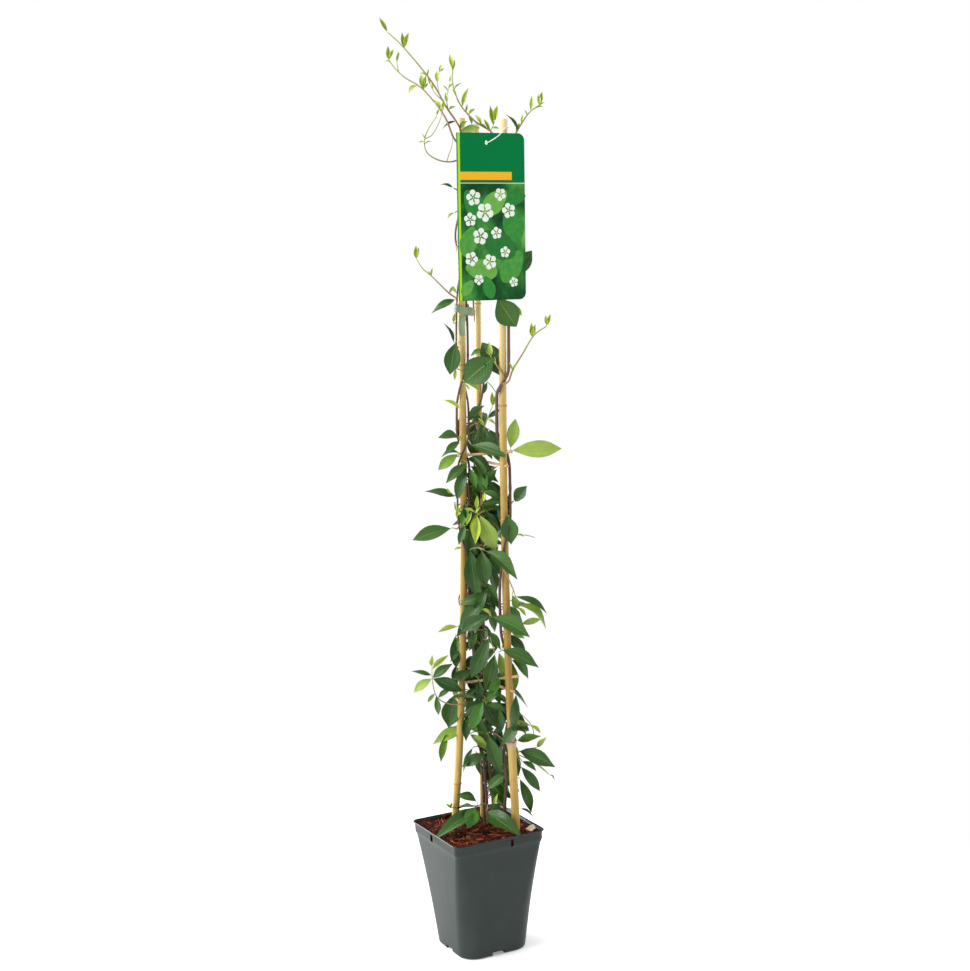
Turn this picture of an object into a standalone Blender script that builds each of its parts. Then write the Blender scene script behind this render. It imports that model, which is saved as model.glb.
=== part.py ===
"""A star jasmine trained up three bamboo canes in a square two-litre pot.

Metres, +Z up. The origin is the centre of the pot's underside, and +X and +Y run along the pot's
sides. The plant's best side is turned a little from the pot's front wall, so places on the plant are
given from that side by at(): millimetres to the right, away, and up. Directions round the plant are
degrees, with 0 to the right, 90 away, 180 to the left and 270 to the front.
"""

import math
from collections import Counter

import bmesh
import bpy
from mathutils import Matrix, Vector
from mathutils.bvhtree import BVHTree

# ---------------------------------------------------------------- driving dimensions, millimetres

MM = 0.001
BEST_SIDE = math.radians(-27.5)
CLEARANCE = 0.3          # gap left between pieces that touch

POT_HEIGHT = 166.0
RIM_HALF = 67.5          # half the width over the rim
SKIRT_HALF = 65.4
WALL_TOP_HALF = 63.5     # just under the skirt
WALL_FOOT_HALF = 49.8
WALL = 1.3
SKIRT_FOOT = 150.0
DRAIN_WIDTH = 19.5
DRAIN_HEIGHT = 5.5
DRAIN_REACH = 22.0       # how far each drain channel runs in under the pot
DRAIN_HOLE_RADIUS = 4.5
DRAIN_HOLE_PLACE = 36.0  # from the pot's middle
SOIL_HEIGHT = 160.0

CANE_FOOT = 72.0         # how deep the canes are pushed in, as a height above the pot's underside
CANE_RADIUS = 5.0
CANE_TAPER = 0.92        # radius at the top over radius at the foot
CANE_SIDES = 8
SOCKET_SIDES = 10
SOCKET_ABOVE = 12.0      # how far the tool for a cane's socket reaches above the substrate
COLLAR_SWELL = 1.7       # how far the flared end of the old sheath stands out from its cane
RUNG_RADIUS = 1.9

CARD_WIDTH = 95.5
CARD_HEIGHT = 208.3
CARD_THICKNESS = 0.8
CARD_FOLD = 3.6          # outer thickness of the folded card
CARD_CORNER = 9.0

CORNER_STEPS = 4         # segments in each rounded corner of the pot
NUDGE = Vector((0.03, -0.02, 0.04))      # how far a cutting or joining tool moves for another try
NUDGES = 8

# ---------------------------------------------------------------- colours: base colour, roughness

FINISHES = {
    "pot_plastic": ((0.045, 0.055, 0.052), 0.42),
    "bark_substrate": ((0.10, 0.032, 0.016), 0.95),
    "wood_chip": ((0.62, 0.45, 0.27), 0.85),
    "bamboo": ((0.66, 0.43, 0.17), 0.5),
    "split_bamboo": ((0.60, 0.40, 0.22), 0.7),
    "printed_card": ((0.0, 0.19, 0.05), 0.35),
    "white_plastic": ((0.85, 0.86, 0.84), 0.4),
    "tie_tape": ((0.33, 0.42, 0.30), 0.6),
    "vine_bark": ((0.10, 0.055, 0.035), 0.8),
    "green_shoot": ((0.25, 0.36, 0.05), 0.5),
    "dark_leaf": ((0.025, 0.095, 0.03), 0.35),
}


def material(name):
    """The finish of that name, as a Principled material that is made once."""
    found = bpy.data.materials.get(name)
    if found:
        return found
    colour, roughness = FINISHES[name]
    made = bpy.data.materials.new(name)
    made.use_nodes = True
    shader = made.node_tree.nodes["Principled BSDF"]
    shader.inputs["Base Color"].default_value = (*colour, 1.0)
    shader.inputs["Roughness"].default_value = roughness
    shader.inputs["Metallic"].default_value = 0.0
    return made


# ---------------------------------------------------------------- places and directions

RIGHT = Vector((math.cos(BEST_SIDE), math.sin(BEST_SIDE), 0.0))
AWAY = Vector((-math.sin(BEST_SIDE), math.cos(BEST_SIDE), 0.0))
UP = Vector((0.0, 0.0, 1.0))


def at(right, away, up):
    """A point seen from the plant's best side, given in millimetres."""
    return (RIGHT * right + AWAY * away + UP * up) * MM


def seen(point):
    """The reverse of at(): a point's millimetres to the right, away and up."""
    return tuple(round(point.dot(way) / MM, 1) for way in (RIGHT, AWAY, UP))


def heading(turn, rise):
    """A unit vector at that many degrees round the plant and above the horizon."""
    turn, rise = math.radians(turn), math.radians(rise)
    flat = RIGHT * math.cos(turn) + AWAY * math.sin(turn)
    return flat * math.cos(rise) + UP * math.sin(rise)


def bearing(way):
    """The reverse of heading(): a vector's turn and rise in degrees, and its length in millimetres."""
    right, away, up = (way.dot(axis) for axis in (RIGHT, AWAY, UP))
    rise = math.degrees(math.atan2(up, math.hypot(right, away)))
    return math.degrees(math.atan2(away, right)), rise, way.length / MM


def between(rows, height):
    """Straight-line reading of (height, value) rows."""
    for (low, first), (high, second) in zip(rows, rows[1:]):
        if height <= high:
            share = max(0.0, (height - low) / (high - low))
            return first + (second - first) * share
    return rows[-1][1]


def smooth_route(points, step):
    """Points about step metres apart on a smooth curve through the given ones."""
    ends = [points[0] * 2 - points[1], *points, points[-1] * 2 - points[-2]]
    route = []
    for before, start, end, after in zip(ends, ends[1:], ends[2:], ends[3:]):
        count = max(1, round((end - start).length / step))
        for i in range(count):
            t = i / count
            route.append(
                start
                + (end - before) * (0.5 * t)
                + (before * 2 - start * 5 + end * 4 - after) * (0.5 * t * t)
                + (start * 3 - end * 3 + after - before) * (0.5 * t * t * t)
            )
    return [*route, points[-1].copy()]


# ---------------------------------------------------------------- solids

def solid(name, shell, finish):
    """An object from a closed bmesh, which is used up."""
    bmesh.ops.triangulate(shell, faces=shell.faces)
    bmesh.ops.recalc_face_normals(shell, faces=shell.faces)
    if shell.calc_volume(signed=True) < 0:
        bmesh.ops.reverse_faces(shell, faces=shell.faces)
    mesh = bpy.data.meshes.new(name)
    shell.to_mesh(mesh)
    shell.free()
    made = bpy.data.objects.new(name, mesh)
    bpy.context.scene.collection.objects.link(made)
    mesh.materials.append(material(finish))
    return made


def loft(rings, shell=None, folded=False):
    """A closed solid through rings of the same number of points, with flat ends.

    The ring of a folded sheet runs along its outer side and back along its inner side, and its
    ends are strips of faces between the two.
    """
    shell = shell or bmesh.new()
    rows = [[shell.verts.new(p) for p in ring] for ring in rings]
    for low, high in zip(rows, rows[1:]):
        for i in range(len(low)):
            j = (i + 1) % len(low)
            shell.faces.new((low[i], low[j], high[j], high[i]))
    for end in (rows[0][::-1], rows[-1]):
        if not folded:
            shell.faces.new(end)
            continue
        for i in range(len(end) // 2 - 1):
            shell.faces.new((end[i], end[i + 1], end[-2 - i], end[-1 - i]))
    return shell


def volume(mesh):
    """A closed mesh's volume."""
    shell = bmesh.new()
    shell.from_mesh(mesh)
    found = shell.calc_volume()
    shell.free()
    return found


def faulty(mesh, least):
    """True if the mesh holds less than that volume, or an edge doesn't have exactly two faces."""
    counts = Counter(edge for face in mesh.polygons for edge in face.edge_keys)
    return volume(mesh) < least or any(count != 2 for count in counts.values())


def boolean(target, tools, operation):
    """Cuts the tools out of the target or joins them to it, one by one, and removes them.

    A step that would leave a faulty mesh is made again with its tool moved by a hair.
    """
    for tool in tools:
        tool.hide_render = True
        tool.display_type = "WIRE"
        step = target.modifiers.new(tool.name, "BOOLEAN")
        step.operation = operation
        step.solver = "EXACT"
        step.object = tool
        joins = operation == "UNION"
        step.use_self = joins
        sizes = volume(target.data), volume(tool.data)
        least = max(sizes) if joins else 0.5 * (sizes[0] - sizes[1])
        for attempt in range(NUDGES):
            bpy.context.view_layer.update()
            whole = target.evaluated_get(bpy.context.evaluated_depsgraph_get())
            mesh = bpy.data.meshes.new_from_object(whole)
            if not faulty(mesh, least):
                break
            tool.location += NUDGE * MM
        target.modifiers.clear()
        target.data = mesh
        bpy.data.objects.remove(tool)
    return target


def box(name, low, high):
    """A closed box between two corners in millimetres, as a tool."""
    (x0, y0, z0), (x1, y1, z1) = low, high
    floor = ((x0, y0), (x1, y0), (x1, y1), (x0, y1))
    rings = [[Vector((x, y, z)) * MM for x, y in floor] for z in (z0, z1)]
    return solid(name, loft(rings), "pot_plastic")


def tube(route, radii, sides, shell=None):
    """A round closed solid along a route, with a radius in millimetres at each point."""
    across = (route[1] - route[0]).normalized().orthogonal().normalized()
    rings = []
    for i, point in enumerate(route):
        ahead = (route[min(i + 1, len(route) - 1)] - route[max(i - 1, 0)]).normalized()
        across = (across - ahead * across.dot(ahead)).normalized()
        side = ahead.cross(across)
        spokes = [2 * math.pi * k / sides for k in range(sides)]
        rings.append([
            point + (across * math.cos(a) + side * math.sin(a)) * (radii[i] * MM) for a in spokes
        ])
    return loft(rings, shell)


def rod(name, start, end, radius, sides, finish):
    """A straight round rod between two points."""
    return solid(name, tube([start, end], [radius, radius], sides), finish)


# ---------------------------------------------------------------- pot and substrate

def rounded_square(half, corner, height):
    """A ring of points: a square of that half width with rounded corners, millimetres."""
    ring = []
    for quarter in range(4):
        middle = math.pi / 4 + quarter * math.pi / 2
        cx = math.copysign(half - corner, math.cos(middle))
        cy = math.copysign(half - corner, math.sin(middle))
        for step in range(CORNER_STEPS + 1):
            a = quarter * math.pi / 2 + step / CORNER_STEPS * math.pi / 2
            x, y = cx + corner * math.cos(a), cy + corner * math.sin(a)
            ring.append(Vector((x, y, height)) * MM)
    return ring


# The wall tapers down from the skirt while its corners open out from tight to broad.
WALL_TAPER = [(5.0, WALL_FOOT_HALF), (SKIRT_FOOT, WALL_TOP_HALF)]
CORNER_ROUNDING = [(5.0, 24.5), (60.0, 22.0), (100.0, 17.0), (128.0, 12.0), (SKIRT_FOOT, 8.0)]
WALL_STOPS = (5.0, 60.0, 100.0, 128.0, SKIRT_FOOT - 1.0)


def wall_ring(height, inset=0.0):
    half = between(WALL_TAPER, height) - inset
    corner = between(CORNER_ROUNDING, height) - inset
    return rounded_square(half, corner, height)


def make_pot():
    """One moulding: a tapered wall with a skirt and a lip, a floor, and four drain channels."""
    outer = [
        rounded_square(WALL_FOOT_HALF - 3.0, 22.0, 0.0),
        rounded_square(WALL_FOOT_HALF - 0.9, 24.0, 1.4),
        *[wall_ring(z) for z in WALL_STOPS],
        rounded_square(SKIRT_HALF - 0.6, 8.5, SKIRT_FOOT + 0.4),
        rounded_square(SKIRT_HALF, 8.5, POT_HEIGHT - 3.4),
        rounded_square(RIM_HALF, 9.5, POT_HEIGHT - 2.2),
        rounded_square(RIM_HALF, 9.5, POT_HEIGHT),
    ]
    pot = solid("pot", loft(outer), "pot_plastic")
    hollow = [
        rounded_square(WALL_FOOT_HALF - 3.2, 22.0, WALL + 0.3),
        *[wall_ring(z, WALL) for z in WALL_STOPS[:-1]],
        wall_ring(SKIRT_FOOT - 3.0, WALL),
        rounded_square(SKIRT_HALF - WALL - 0.6, 7.2, SKIRT_FOOT + 0.6),
        rounded_square(SKIRT_HALF - WALL, 7.2, POT_HEIGHT - 3.0),
        rounded_square(SKIRT_HALF - 0.6, 7.8, POT_HEIGHT + 1.0),
    ]
    inside = solid("pot_hollow", loft(hollow), "pot_plastic")
    boolean(inside, drain_blocks(WALL, 0.0), "DIFFERENCE")
    boolean(pot, [inside, *drain_blocks(0.0, -2.0)], "DIFFERENCE")
    return boolean(pot, [*slot_boxes(), *drain_holes()], "DIFFERENCE")


def drain_blocks(grow, foot):
    """The space of the four drain channels under the pot, thickened by grow."""
    half = DRAIN_WIDTH / 2 + grow
    inner = WALL_FOOT_HALF - DRAIN_REACH - grow
    blocks = []
    for turn in range(4):
        block = box("drain", (inner, -half, foot), (60.0, half, DRAIN_HEIGHT + grow))
        block.data.transform(Matrix.Rotation(turn * math.pi / 2, 4, "Z"))
        blocks.append(block)
    return blocks


def drain_holes():
    """Round holes that let water through the roof of each channel."""
    holes = []
    for turn in range(4):
        spot = Matrix.Rotation(turn * math.pi / 2, 3, "Z") @ Vector((DRAIN_HOLE_PLACE, 0.0, 0.0))
        foot, top = spot + UP * (DRAIN_HEIGHT - 2.0), spot + UP * (DRAIN_HEIGHT + WALL + 2.0)
        holes.append(rod("drain_hole", foot * MM, top * MM, DRAIN_HOLE_RADIUS, 10, "pot_plastic"))
    return holes


# Slots under the rim that take a label or a hanger: one in each wall.
SLOT_LOW, SLOT_HIGH = 152.0, 161.5
SLOT_NEAR, SLOT_FAR = 58.0, 72.0         # where the slot's cutter starts and ends
FRONT_SLOT = (14.8, 18.6)                # from and to, along the front wall
LEFT_SLOT = (5.2, 12.2)                  # from and to, along the left wall


def slot_boxes():
    """A slot in the front and left walls, and the same turned half round in the other two."""
    boxes = []
    for turn in (0.0, math.pi):
        low, high = FRONT_SLOT
        front = box("slot", (low, -SLOT_FAR, SLOT_LOW), (high, -SLOT_NEAR, SLOT_HIGH))
        low, high = LEFT_SLOT
        left = box("slot", (-SLOT_FAR, low, SLOT_LOW), (-SLOT_NEAR, high, SLOT_HIGH))
        for slot in (front, left):
            slot.data.transform(Matrix.Rotation(turn, 4, "Z"))
            boxes.append(slot)
    return boxes



def soil_lift(x, y):
    """How far the substrate's top stands above its mean height, from a few crossing waves."""
    return 1.3 * math.sin(x / 9.0 + 0.6) * math.cos(y / 11.0) + 0.8 * math.sin((x - y) / 6.5)


def make_substrate():
    """Bark and coir that fill the pot, with a hummocky top."""
    gap = WALL + CLEARANCE
    floor = rounded_square(WALL_FOOT_HALF - 3.6, 21.6, WALL + 0.3 + CLEARANCE)
    wall = [wall_ring(z, gap) for z in WALL_STOPS[:-1]]
    edge = rounded_square(SKIRT_HALF - gap - 0.9, 7.0, SOIL_HEIGHT - 1.5)
    top = []
    for share in (0.9, 0.68, 0.42, 0.16):
        ring = rounded_square((SKIRT_HALF - gap) * share, 7.0 + 20.0 * (1 - share) * share, 0.0)
        for p in ring:
            p.z = (SOIL_HEIGHT + 1.2 * (1 - share) + soil_lift(p.x / MM, p.y / MM)) * MM
        top.append(ring)
    throat = wall_ring(SKIRT_FOOT - 3.0, gap)
    shell = loft([floor, *wall, throat, edge, *top])
    substrate = solid("substrate", shell, "bark_substrate")
    return boolean(substrate, drain_blocks(WALL + CLEARANCE, 0.0), "DIFFERENCE")


# ---------------------------------------------------------------- canes and rungs

class Cane:
    """A bamboo cane: where its axis runs, how thick it is, and where its joints are.

    The bow is how far its middle stands to the right of a straight line, and the skew moves the
    widest place of the bow down the cane.
    """

    def __init__(self, foot, top, bow, skew, girth, joints, collar=None):
        self.foot, self.top, self.bow, self.skew = Vector(foot), Vector(top), bow, skew
        self.girth, self.joints, self.collar = girth, joints, collar

    def axis(self, height):
        share = (height - self.foot.z) / (self.top.z - self.foot.z)
        place = self.foot.lerp(self.top, share)
        inside = min(1.0, max(0.0, share))
        lean = 1 + self.skew * (1 - 2 * inside)
        return place + Vector((self.bow * lean * 4 * inside * (1 - inside), 0.0, 0.0))

    def radius(self, height):
        share = (height - CANE_FOOT) / (self.top.z - CANE_FOOT)
        radius = CANE_RADIUS * self.girth * (1 - (1 - CANE_TAPER) * share)
        if self.collar and height < self.collar:
            radius += 0.6
        return radius

    def point(self, height):
        return at(*self.axis(height))


CANES = {
    "cane_left": Cane((-30, 28, 174), (12, 14, 1097), 6.5, 1.2, 1.0, (216, 337, 469, 625, 782, 940)),
    "cane_right": Cane(
        (51, -12, 174), (65.6, -8, 1093), -8.3, 0.15, 1.0, (430, 580, 730, 840, 985), 283.0),
    "cane_back": Cane((7.6, 51, 174), (30, 40, 1089), 0.0, 0.0, 0.84, (250, 400, 560, 700, 860, 1010)),
}


def make_cane(name, cane):
    """A tapering cane with a raised ring at each joint; one keeps a flared sheath collar."""
    stations = [(CANE_FOOT, 0.0), (cane.foot.z, 0.0), (cane.top.z, 0.0)]
    for joint in cane.joints:
        stations += [(joint - 3.0, 0.0), (joint, 0.7), (joint + 3.0, 0.0)]
    if cane.collar:
        stations += [(cane.collar - 12.0, 0.0), (cane.collar, COLLAR_SWELL), (cane.collar + 1.5, 0.0)]
    stations.sort()
    route = [cane.point(z) for z, _ in stations]
    radii = [cane.radius(z) + swell for z, swell in stations]
    return solid(name, tube(route, radii, CANE_SIDES), "bamboo")


# Each level's front rung: its height, how far it drops at its left cane, and how far it sticks out
# past its left and right canes.
RUNG_LEVELS = {
    "low": (370.0, 14.5, 14.0, 15.0),
    "middle": (669.0, 6.0, 20.0, 13.0),
    "high": (968.0, 6.0, 6.0, 9.0),
}
# The two other rungs of a level: how far below the front one, their canes, and their ends.
OTHER_RUNGS = {
    "side": (17.0, "cane_back", "cane_right", 8.0, 11.5),
    "rear": (34.0, "cane_left", "cane_back", 9.0, 8.0),
}
RUNG_SIDES = 6
HOLE_REACH = 9.0         # half the length of the drill that makes a rung's hole in a cane


def rung_places():
    """Each rung's name and its two ends, as (cane, height, how far it sticks out past the cane)."""
    for level, (height, drop, past_left, past_right) in RUNG_LEVELS.items():
        yield (f"rung_{level}_front", ("cane_left", height - drop, past_left),
               ("cane_right", height, past_right))
        for side, (below, start, end, past_start, past_end) in OTHER_RUNGS.items():
            yield (f"rung_{level}_{side}", (start, height - below, past_start),
                   (end, height - below, past_end))


def make_rungs():
    """Thin split-bamboo rods through holes drilled in the canes, three rods to a level."""
    holes = {name: [] for name in CANES}
    rungs = []
    for name, *ends in rung_places():
        first, last = (CANES[cane].point(height) for cane, height, _ in ends)
        ahead = (last - first).normalized()
        for (cane, _, _), middle in zip(ends, (first, last)):
            drill = middle - ahead * HOLE_REACH * MM, middle + ahead * HOLE_REACH * MM
            reach = RUNG_RADIUS + 2 * CLEARANCE
            holes[cane].append(rod("hole", *drill, reach, RUNG_SIDES, "split_bamboo"))
        first, last = first - ahead * ends[0][2] * MM, last + ahead * ends[1][2] * MM
        rungs.append(rod(name, first, last, RUNG_RADIUS, RUNG_SIDES, "split_bamboo"))
    return rungs, holes


# ---------------------------------------------------------------- label, hook and ties

CARD_MIDDLE = Vector((25.6, -48.8, 970.9))   # in the pot's own directions, millimetres
CARD_LEAN = math.radians(1.3)
CARD_HOLE = (-5.6, 92.1)                      # across and up from the card's middle


def card_frame():
    lean = Matrix.Rotation(CARD_LEAN, 4, "Y")
    return Matrix.Translation(CARD_MIDDLE * MM) @ lean


def make_card():
    """A label card folded down its left edge, with rounded corners at the open edge."""
    half, fold, sheet = CARD_WIDTH / 2, CARD_FOLD / 2, CARD_THICKNESS
    rings = []
    steps = [math.pi / 2 * k / 3 for k in range(4)]
    rows = [(-CARD_HEIGHT / 2 + CARD_CORNER * (1 - math.cos(a)), math.sin(a)) for a in steps]
    rows += [(-z, s) for z, s in reversed(rows)]
    for z, s in rows:
        edge = half - CARD_CORNER * (1 - s)
        spine = [(-half + fold * (1 - math.sin(a)), -fold * math.cos(a))
                 for a in (math.pi * k / 4 for k in range(5))]
        hollow = [(-half + fold - (fold - sheet) * math.sin(a), -(fold - sheet) * math.cos(a))
                  for a in (math.pi * k / 4 for k in range(4, -1, -1))]
        outline = [(edge, -fold), *spine, (edge, fold), (edge, fold - sheet), *hollow,
                   (edge, -(fold - sheet))]
        rings.append([card_frame() @ (Vector((x, y, z)) * MM) for x, y in outline])
    card = solid("label_card", loft(rings, folded=True), "printed_card")
    x, z = CARD_HOLE
    front, back = Vector((x, -8.0, z)) * MM, Vector((x, 8.0, z)) * MM
    hole = rod("card_hole", card_frame() @ front, card_frame() @ back, 3.0, 10, "printed_card")
    return boolean(card, [hole], "DIFFERENCE")


HOOK_HEIGHT = 1082.0
HOOK_RADIUS = 0.9


def make_hook():
    """A white plastic hook: a ring round the right-hand cane, and an arm through the card."""
    cane = CANES["cane_right"]
    reach = cane.radius(HOOK_HEIGHT) + HOOK_RADIUS + 0.6
    centre = cane.point(HOOK_HEIGHT)
    ring = [centre + heading(turn, 0) * reach * MM for turn in range(-75, 196, 30)]
    x, z = CARD_HOLE
    hole = card_frame() @ (Vector((x, 0.0, z)) * MM)
    ahead = card_frame().to_3x3() @ Vector((0.0, 4.0 * MM, 0.0))
    arm = [hole - ahead * 0.9 + at(14, 0, 8), hole - ahead * 1.1, hole, hole + ahead,
           hole + ahead * 1.4 + at(0, 0, 6)]
    route = smooth_route([*reversed(ring), *arm], 4 * MM)
    return solid("label_hook", tube(route, [HOOK_RADIUS] * len(route), 6), "white_plastic")


def make_tie_band():
    """A soft tape loop that holds the vines to the left-hand cane."""
    centre = CANES["cane_left"].point(858) + at(3.0, 0, 0)
    tilt = Matrix.Rotation(math.radians(14), 3, AWAY)
    outer, inner = [], []
    for k in range(20):
        a = 2 * math.pi * k / 20
        flat = RIGHT * math.cos(a) * 14.0 + AWAY * math.sin(a) * 12.0
        outer.append(flat)
        inner.append(flat * (1 - 0.8 / flat.length))
    shell = bmesh.new()
    rows = []
    for side, z in ((outer, -5.0), (outer, 5.0), (inner, 5.0), (inner, -5.0)):
        rows.append([shell.verts.new(centre + tilt @ (p + UP * z) * MM) for p in side])
    for low, high in zip(rows, rows[1:] + rows[:1]):
        for i in range(20):
            j = (i + 1) % 20
            shell.faces.new((low[i], low[j], high[j], high[i]))
    return solid("tie_band", shell, "tie_tape")


def make_tie_tail():
    """The loose end of the tape, which lies down the front of the cane."""
    cane = CANES["cane_left"]
    rings = []
    for z, lean in ((846.0, 0.0), (838.0, 1.2), (829.0, 0.6), (820.0, 1.4)):
        face = cane.point(z) + at(1.5 - lean, -cane.radius(z) - 4.2 - lean, 0)
        wide, thick = RIGHT * 4.8 * MM, AWAY * 0.4 * MM
        rings.append([face - wide - thick, face + wide - thick, face + wide + thick, face - wide + thick])
    return solid("tie_tail", loft(rings), "tie_tape")


def make_chip():
    """A pale chip of wood that lies on the substrate near a corner."""
    corners = [(-7, -2), (5, -4), (8, 1), (-3, 4)]
    turn = Matrix.Rotation(math.radians(25), 3, "Z") @ Matrix.Rotation(math.radians(12), 3, "Y")
    middle = Vector((54, -47, SOIL_HEIGHT + 4.0))
    rings = [[(middle + turn @ Vector((x, y, z))) * MM for x, y in corners] for z in (-1.3, 1.3)]
    return solid("wood_chip", loft(rings), "wood_chip")


# ---------------------------------------------------------------- woody vines

STEM_SIDES = 5
STEM_STEP = 30.0         # longest distance between the rings of a vine's tube
WINDING_STEP = 36.0      # most degrees between two rings round a cane
WINDING_GAP = 1.3        # a vine's clearance from its cane at a ring, so that its flats clear too
STEM_SOCKET_ABOVE = 8.0  # how far the tool for a vine's socket reaches above the substrate


class Stem:
    """A vine's line and thickness. Its places are free points, or (cane, height, turn) on a cane."""

    def __init__(self, foot_radius, tip_radius, holds):
        self.foot_radius, self.tip_radius = foot_radius, tip_radius
        foot, tip = self.height(holds[0]), self.height(holds[-1])
        self.foot, self.tip = foot, tip
        points = []
        for hold, following in zip(holds, holds[1:] + [None]):
            points.append(self.place(hold))
            if following and hold[0] == following[0] and hold[0] in CANES:
                points += self.winding(hold, following)
        self.route = smooth_route(points, STEM_STEP * MM)

    def height(self, hold):
        return hold[1] if hold[0] in CANES else hold[2]

    def radius(self, height):
        share = min(1.0, max(0.0, (height - self.foot) / (self.tip - self.foot)))
        return self.foot_radius + (self.tip_radius - self.foot_radius) * share

    def place(self, hold):
        if hold[0] not in CANES:
            return at(*hold)
        name, height, turn = hold
        cane = CANES[name]
        reach = cane.radius(height) + self.radius(height) + WINDING_GAP
        if cane.collar and abs(height - cane.collar) < STEM_STEP:
            reach += COLLAR_SWELL
        return cane.point(height) + heading(turn, 0) * reach * MM

    def winding(self, hold, following):
        """Places between two holds on one cane, close enough to follow its round."""
        name, low, start = hold
        high, end = following[1], following[2]
        count = max(1, math.ceil(abs(end - start) / WINDING_STEP))
        steps = [k / count for k in range(1, count)]
        return [self.place((name, low + (high - low) * s, start + (end - start) * s)) for s in steps]

    def reading(self, height):
        """The line's point, direction and radius at a height in millimetres."""
        for low, high in zip(self.route, self.route[1:]):
            if high.z >= height * MM:
                break
        share = min(1.0, max(0.0, (height * MM - low.z) / (high.z - low.z)))
        return low.lerp(high, share), (high - low).normalized(), self.radius(height)


STEMS = {
    "vine_left_rear": Stem(2.6, 1.3, [
        (8, 27, 112), (9, 27, 200), (6, 26, 300), (3, 27, 370), (1, 27, 450), (3, 25, 540),
        (5, 22, 590), ("cane_left", 620, -30), ("cane_left", 635, -10), ("cane_left", 650, 20),
        ("cane_left", 669, 90), ("cane_left", 690, 165), ("cane_left", 725, 185),
        ("cane_left", 763, 270), ("cane_left", 790, 345), ("cane_left", 830, 375),
        ("cane_left", 870, 400), ("cane_left", 905, 440), ("cane_left", 936, 500),
        ("cane_left", 955, 560), ("cane_left", 970, 600), ("cane_left", 1000, 610),
        ("cane_left", 1040, 625), ("cane_left", 1074, 630)]),
    "vine_left_front": Stem(2.5, 1.2, [
        (14, 14, 112), (13, 14, 200), (8, 17, 300), (4, 19.5, 370), (2, 17, 440), (-2, 14, 500),
        ("cane_left", 530, -55), ("cane_left", 560, -120), ("cane_left", 590, -170),
        ("cane_left", 635, -180), ("cane_left", 650, -150), ("cane_left", 669, -90),
        ("cane_left", 690, -10), ("cane_left", 725, 10), ("cane_left", 763, 90),
        ("cane_left", 790, 165), ("cane_left", 830, 195), ("cane_left", 870, 220),
        ("cane_left", 905, 260)]),
    "vine_right": Stem(3.0, 1.3, [
        (36, 2, 112), (36, -2, 180), ("cane_right", 230, 165), ("cane_right", 262, 165),
        ("cane_right", 300, 120), ("cane_right", 330, 70), ("cane_right", 385, 70),
        ("cane_right", 430, 160), ("cane_right", 480, 185), ("cane_right", 550, 270),
        ("cane_right", 590, 350), ("cane_right", 605, 360), ("cane_right", 640, 365),
        ("cane_right", 652, 380), ("cane_right", 669, 420), ("cane_right", 682, 470),
        ("cane_right", 695, 525), ("cane_right", 745, 555), ("cane_right", 760, 630),
        ("cane_right", 775, 705), ("cane_right", 846, 730), ("cane_right", 862, 800),
        ("cane_right", 878, 900), ("cane_right", 892, 1000), ("cane_right", 910, 1070),
        ("cane_right", 935, 1145), ("cane_right", 985, 1150), ("cane_right", 1020, 1190),
        ("cane_right", 1062, 1220)]),
    "vine_back": Stem(2.4, 1.4, [
        (26, 40, 112), (22, 49, 200), ("cane_back", 250, 30), ("cane_back", 290, 100),
        ("cane_back", 330, 172), ("cane_back", 355, 180), ("cane_back", 400, 250),
        ("cane_back", 500, 380), ("cane_back", 580, 480), ("cane_back", 622, 535),
        ("cane_back", 655, 540), ("cane_back", 678, 560)]),
    "vine_middle": Stem(2.8, 1.2, [
        (22, 17, 112), (22, 15, 180), (18, 17, 250), (16, 19, 330), (15, 20, 370), (17, 18, 430),
        (20, 12, 500), (18, 10, 560), (20, 16, 610), (22, 20, 650), (20, 25, 678),
        ("cane_back", 705, 195), ("cane_back", 735, 300), ("cane_back", 780, 400),
        ("cane_back", 850, 500), ("cane_back", 912, 560)]),
}


def make_stem(name, stem):
    radii = [stem.radius(p.z / MM) for p in stem.route]
    return solid(name, tube(stem.route, radii, STEM_SIDES), "vine_bark")


# ---------------------------------------------------------------- leaves

# Width over length, and how far the blade arches above a straight line, over length.
LEAF_KINDS = {
    "usual": (0.40, 0.07),
    "wide": (0.46, 0.06),
    "broad": (0.62, 0.05),
    "slim": (0.28, 0.08),
    "young": (0.28, 0.05),
}
# How wide a blade is along its length: (share of the length, share of the full width).
BLADE = [(0.22, 0.66), (0.46, 1.0), (0.78, 0.5)]
SMALL_BLADE = [(0.5, 1.0)]
SMALL_LEAF = 26.0        # leaves under this length have the simpler blade
STALK = 5.0
SMALL_STALK = 2.0
STALK_HALF = 0.6         # half the stalk's thickness
BLADE_THICKNESS = 0.8
BLADE_FOLD = 0.22        # how far a blade's edges rise above its midrib, over its half width
LEAF_ROOM = 0.45         # the gap that a leaf is tested for
YOUNG_FACE = 60          # how much a young leaf of a shoot faces the best side


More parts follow.
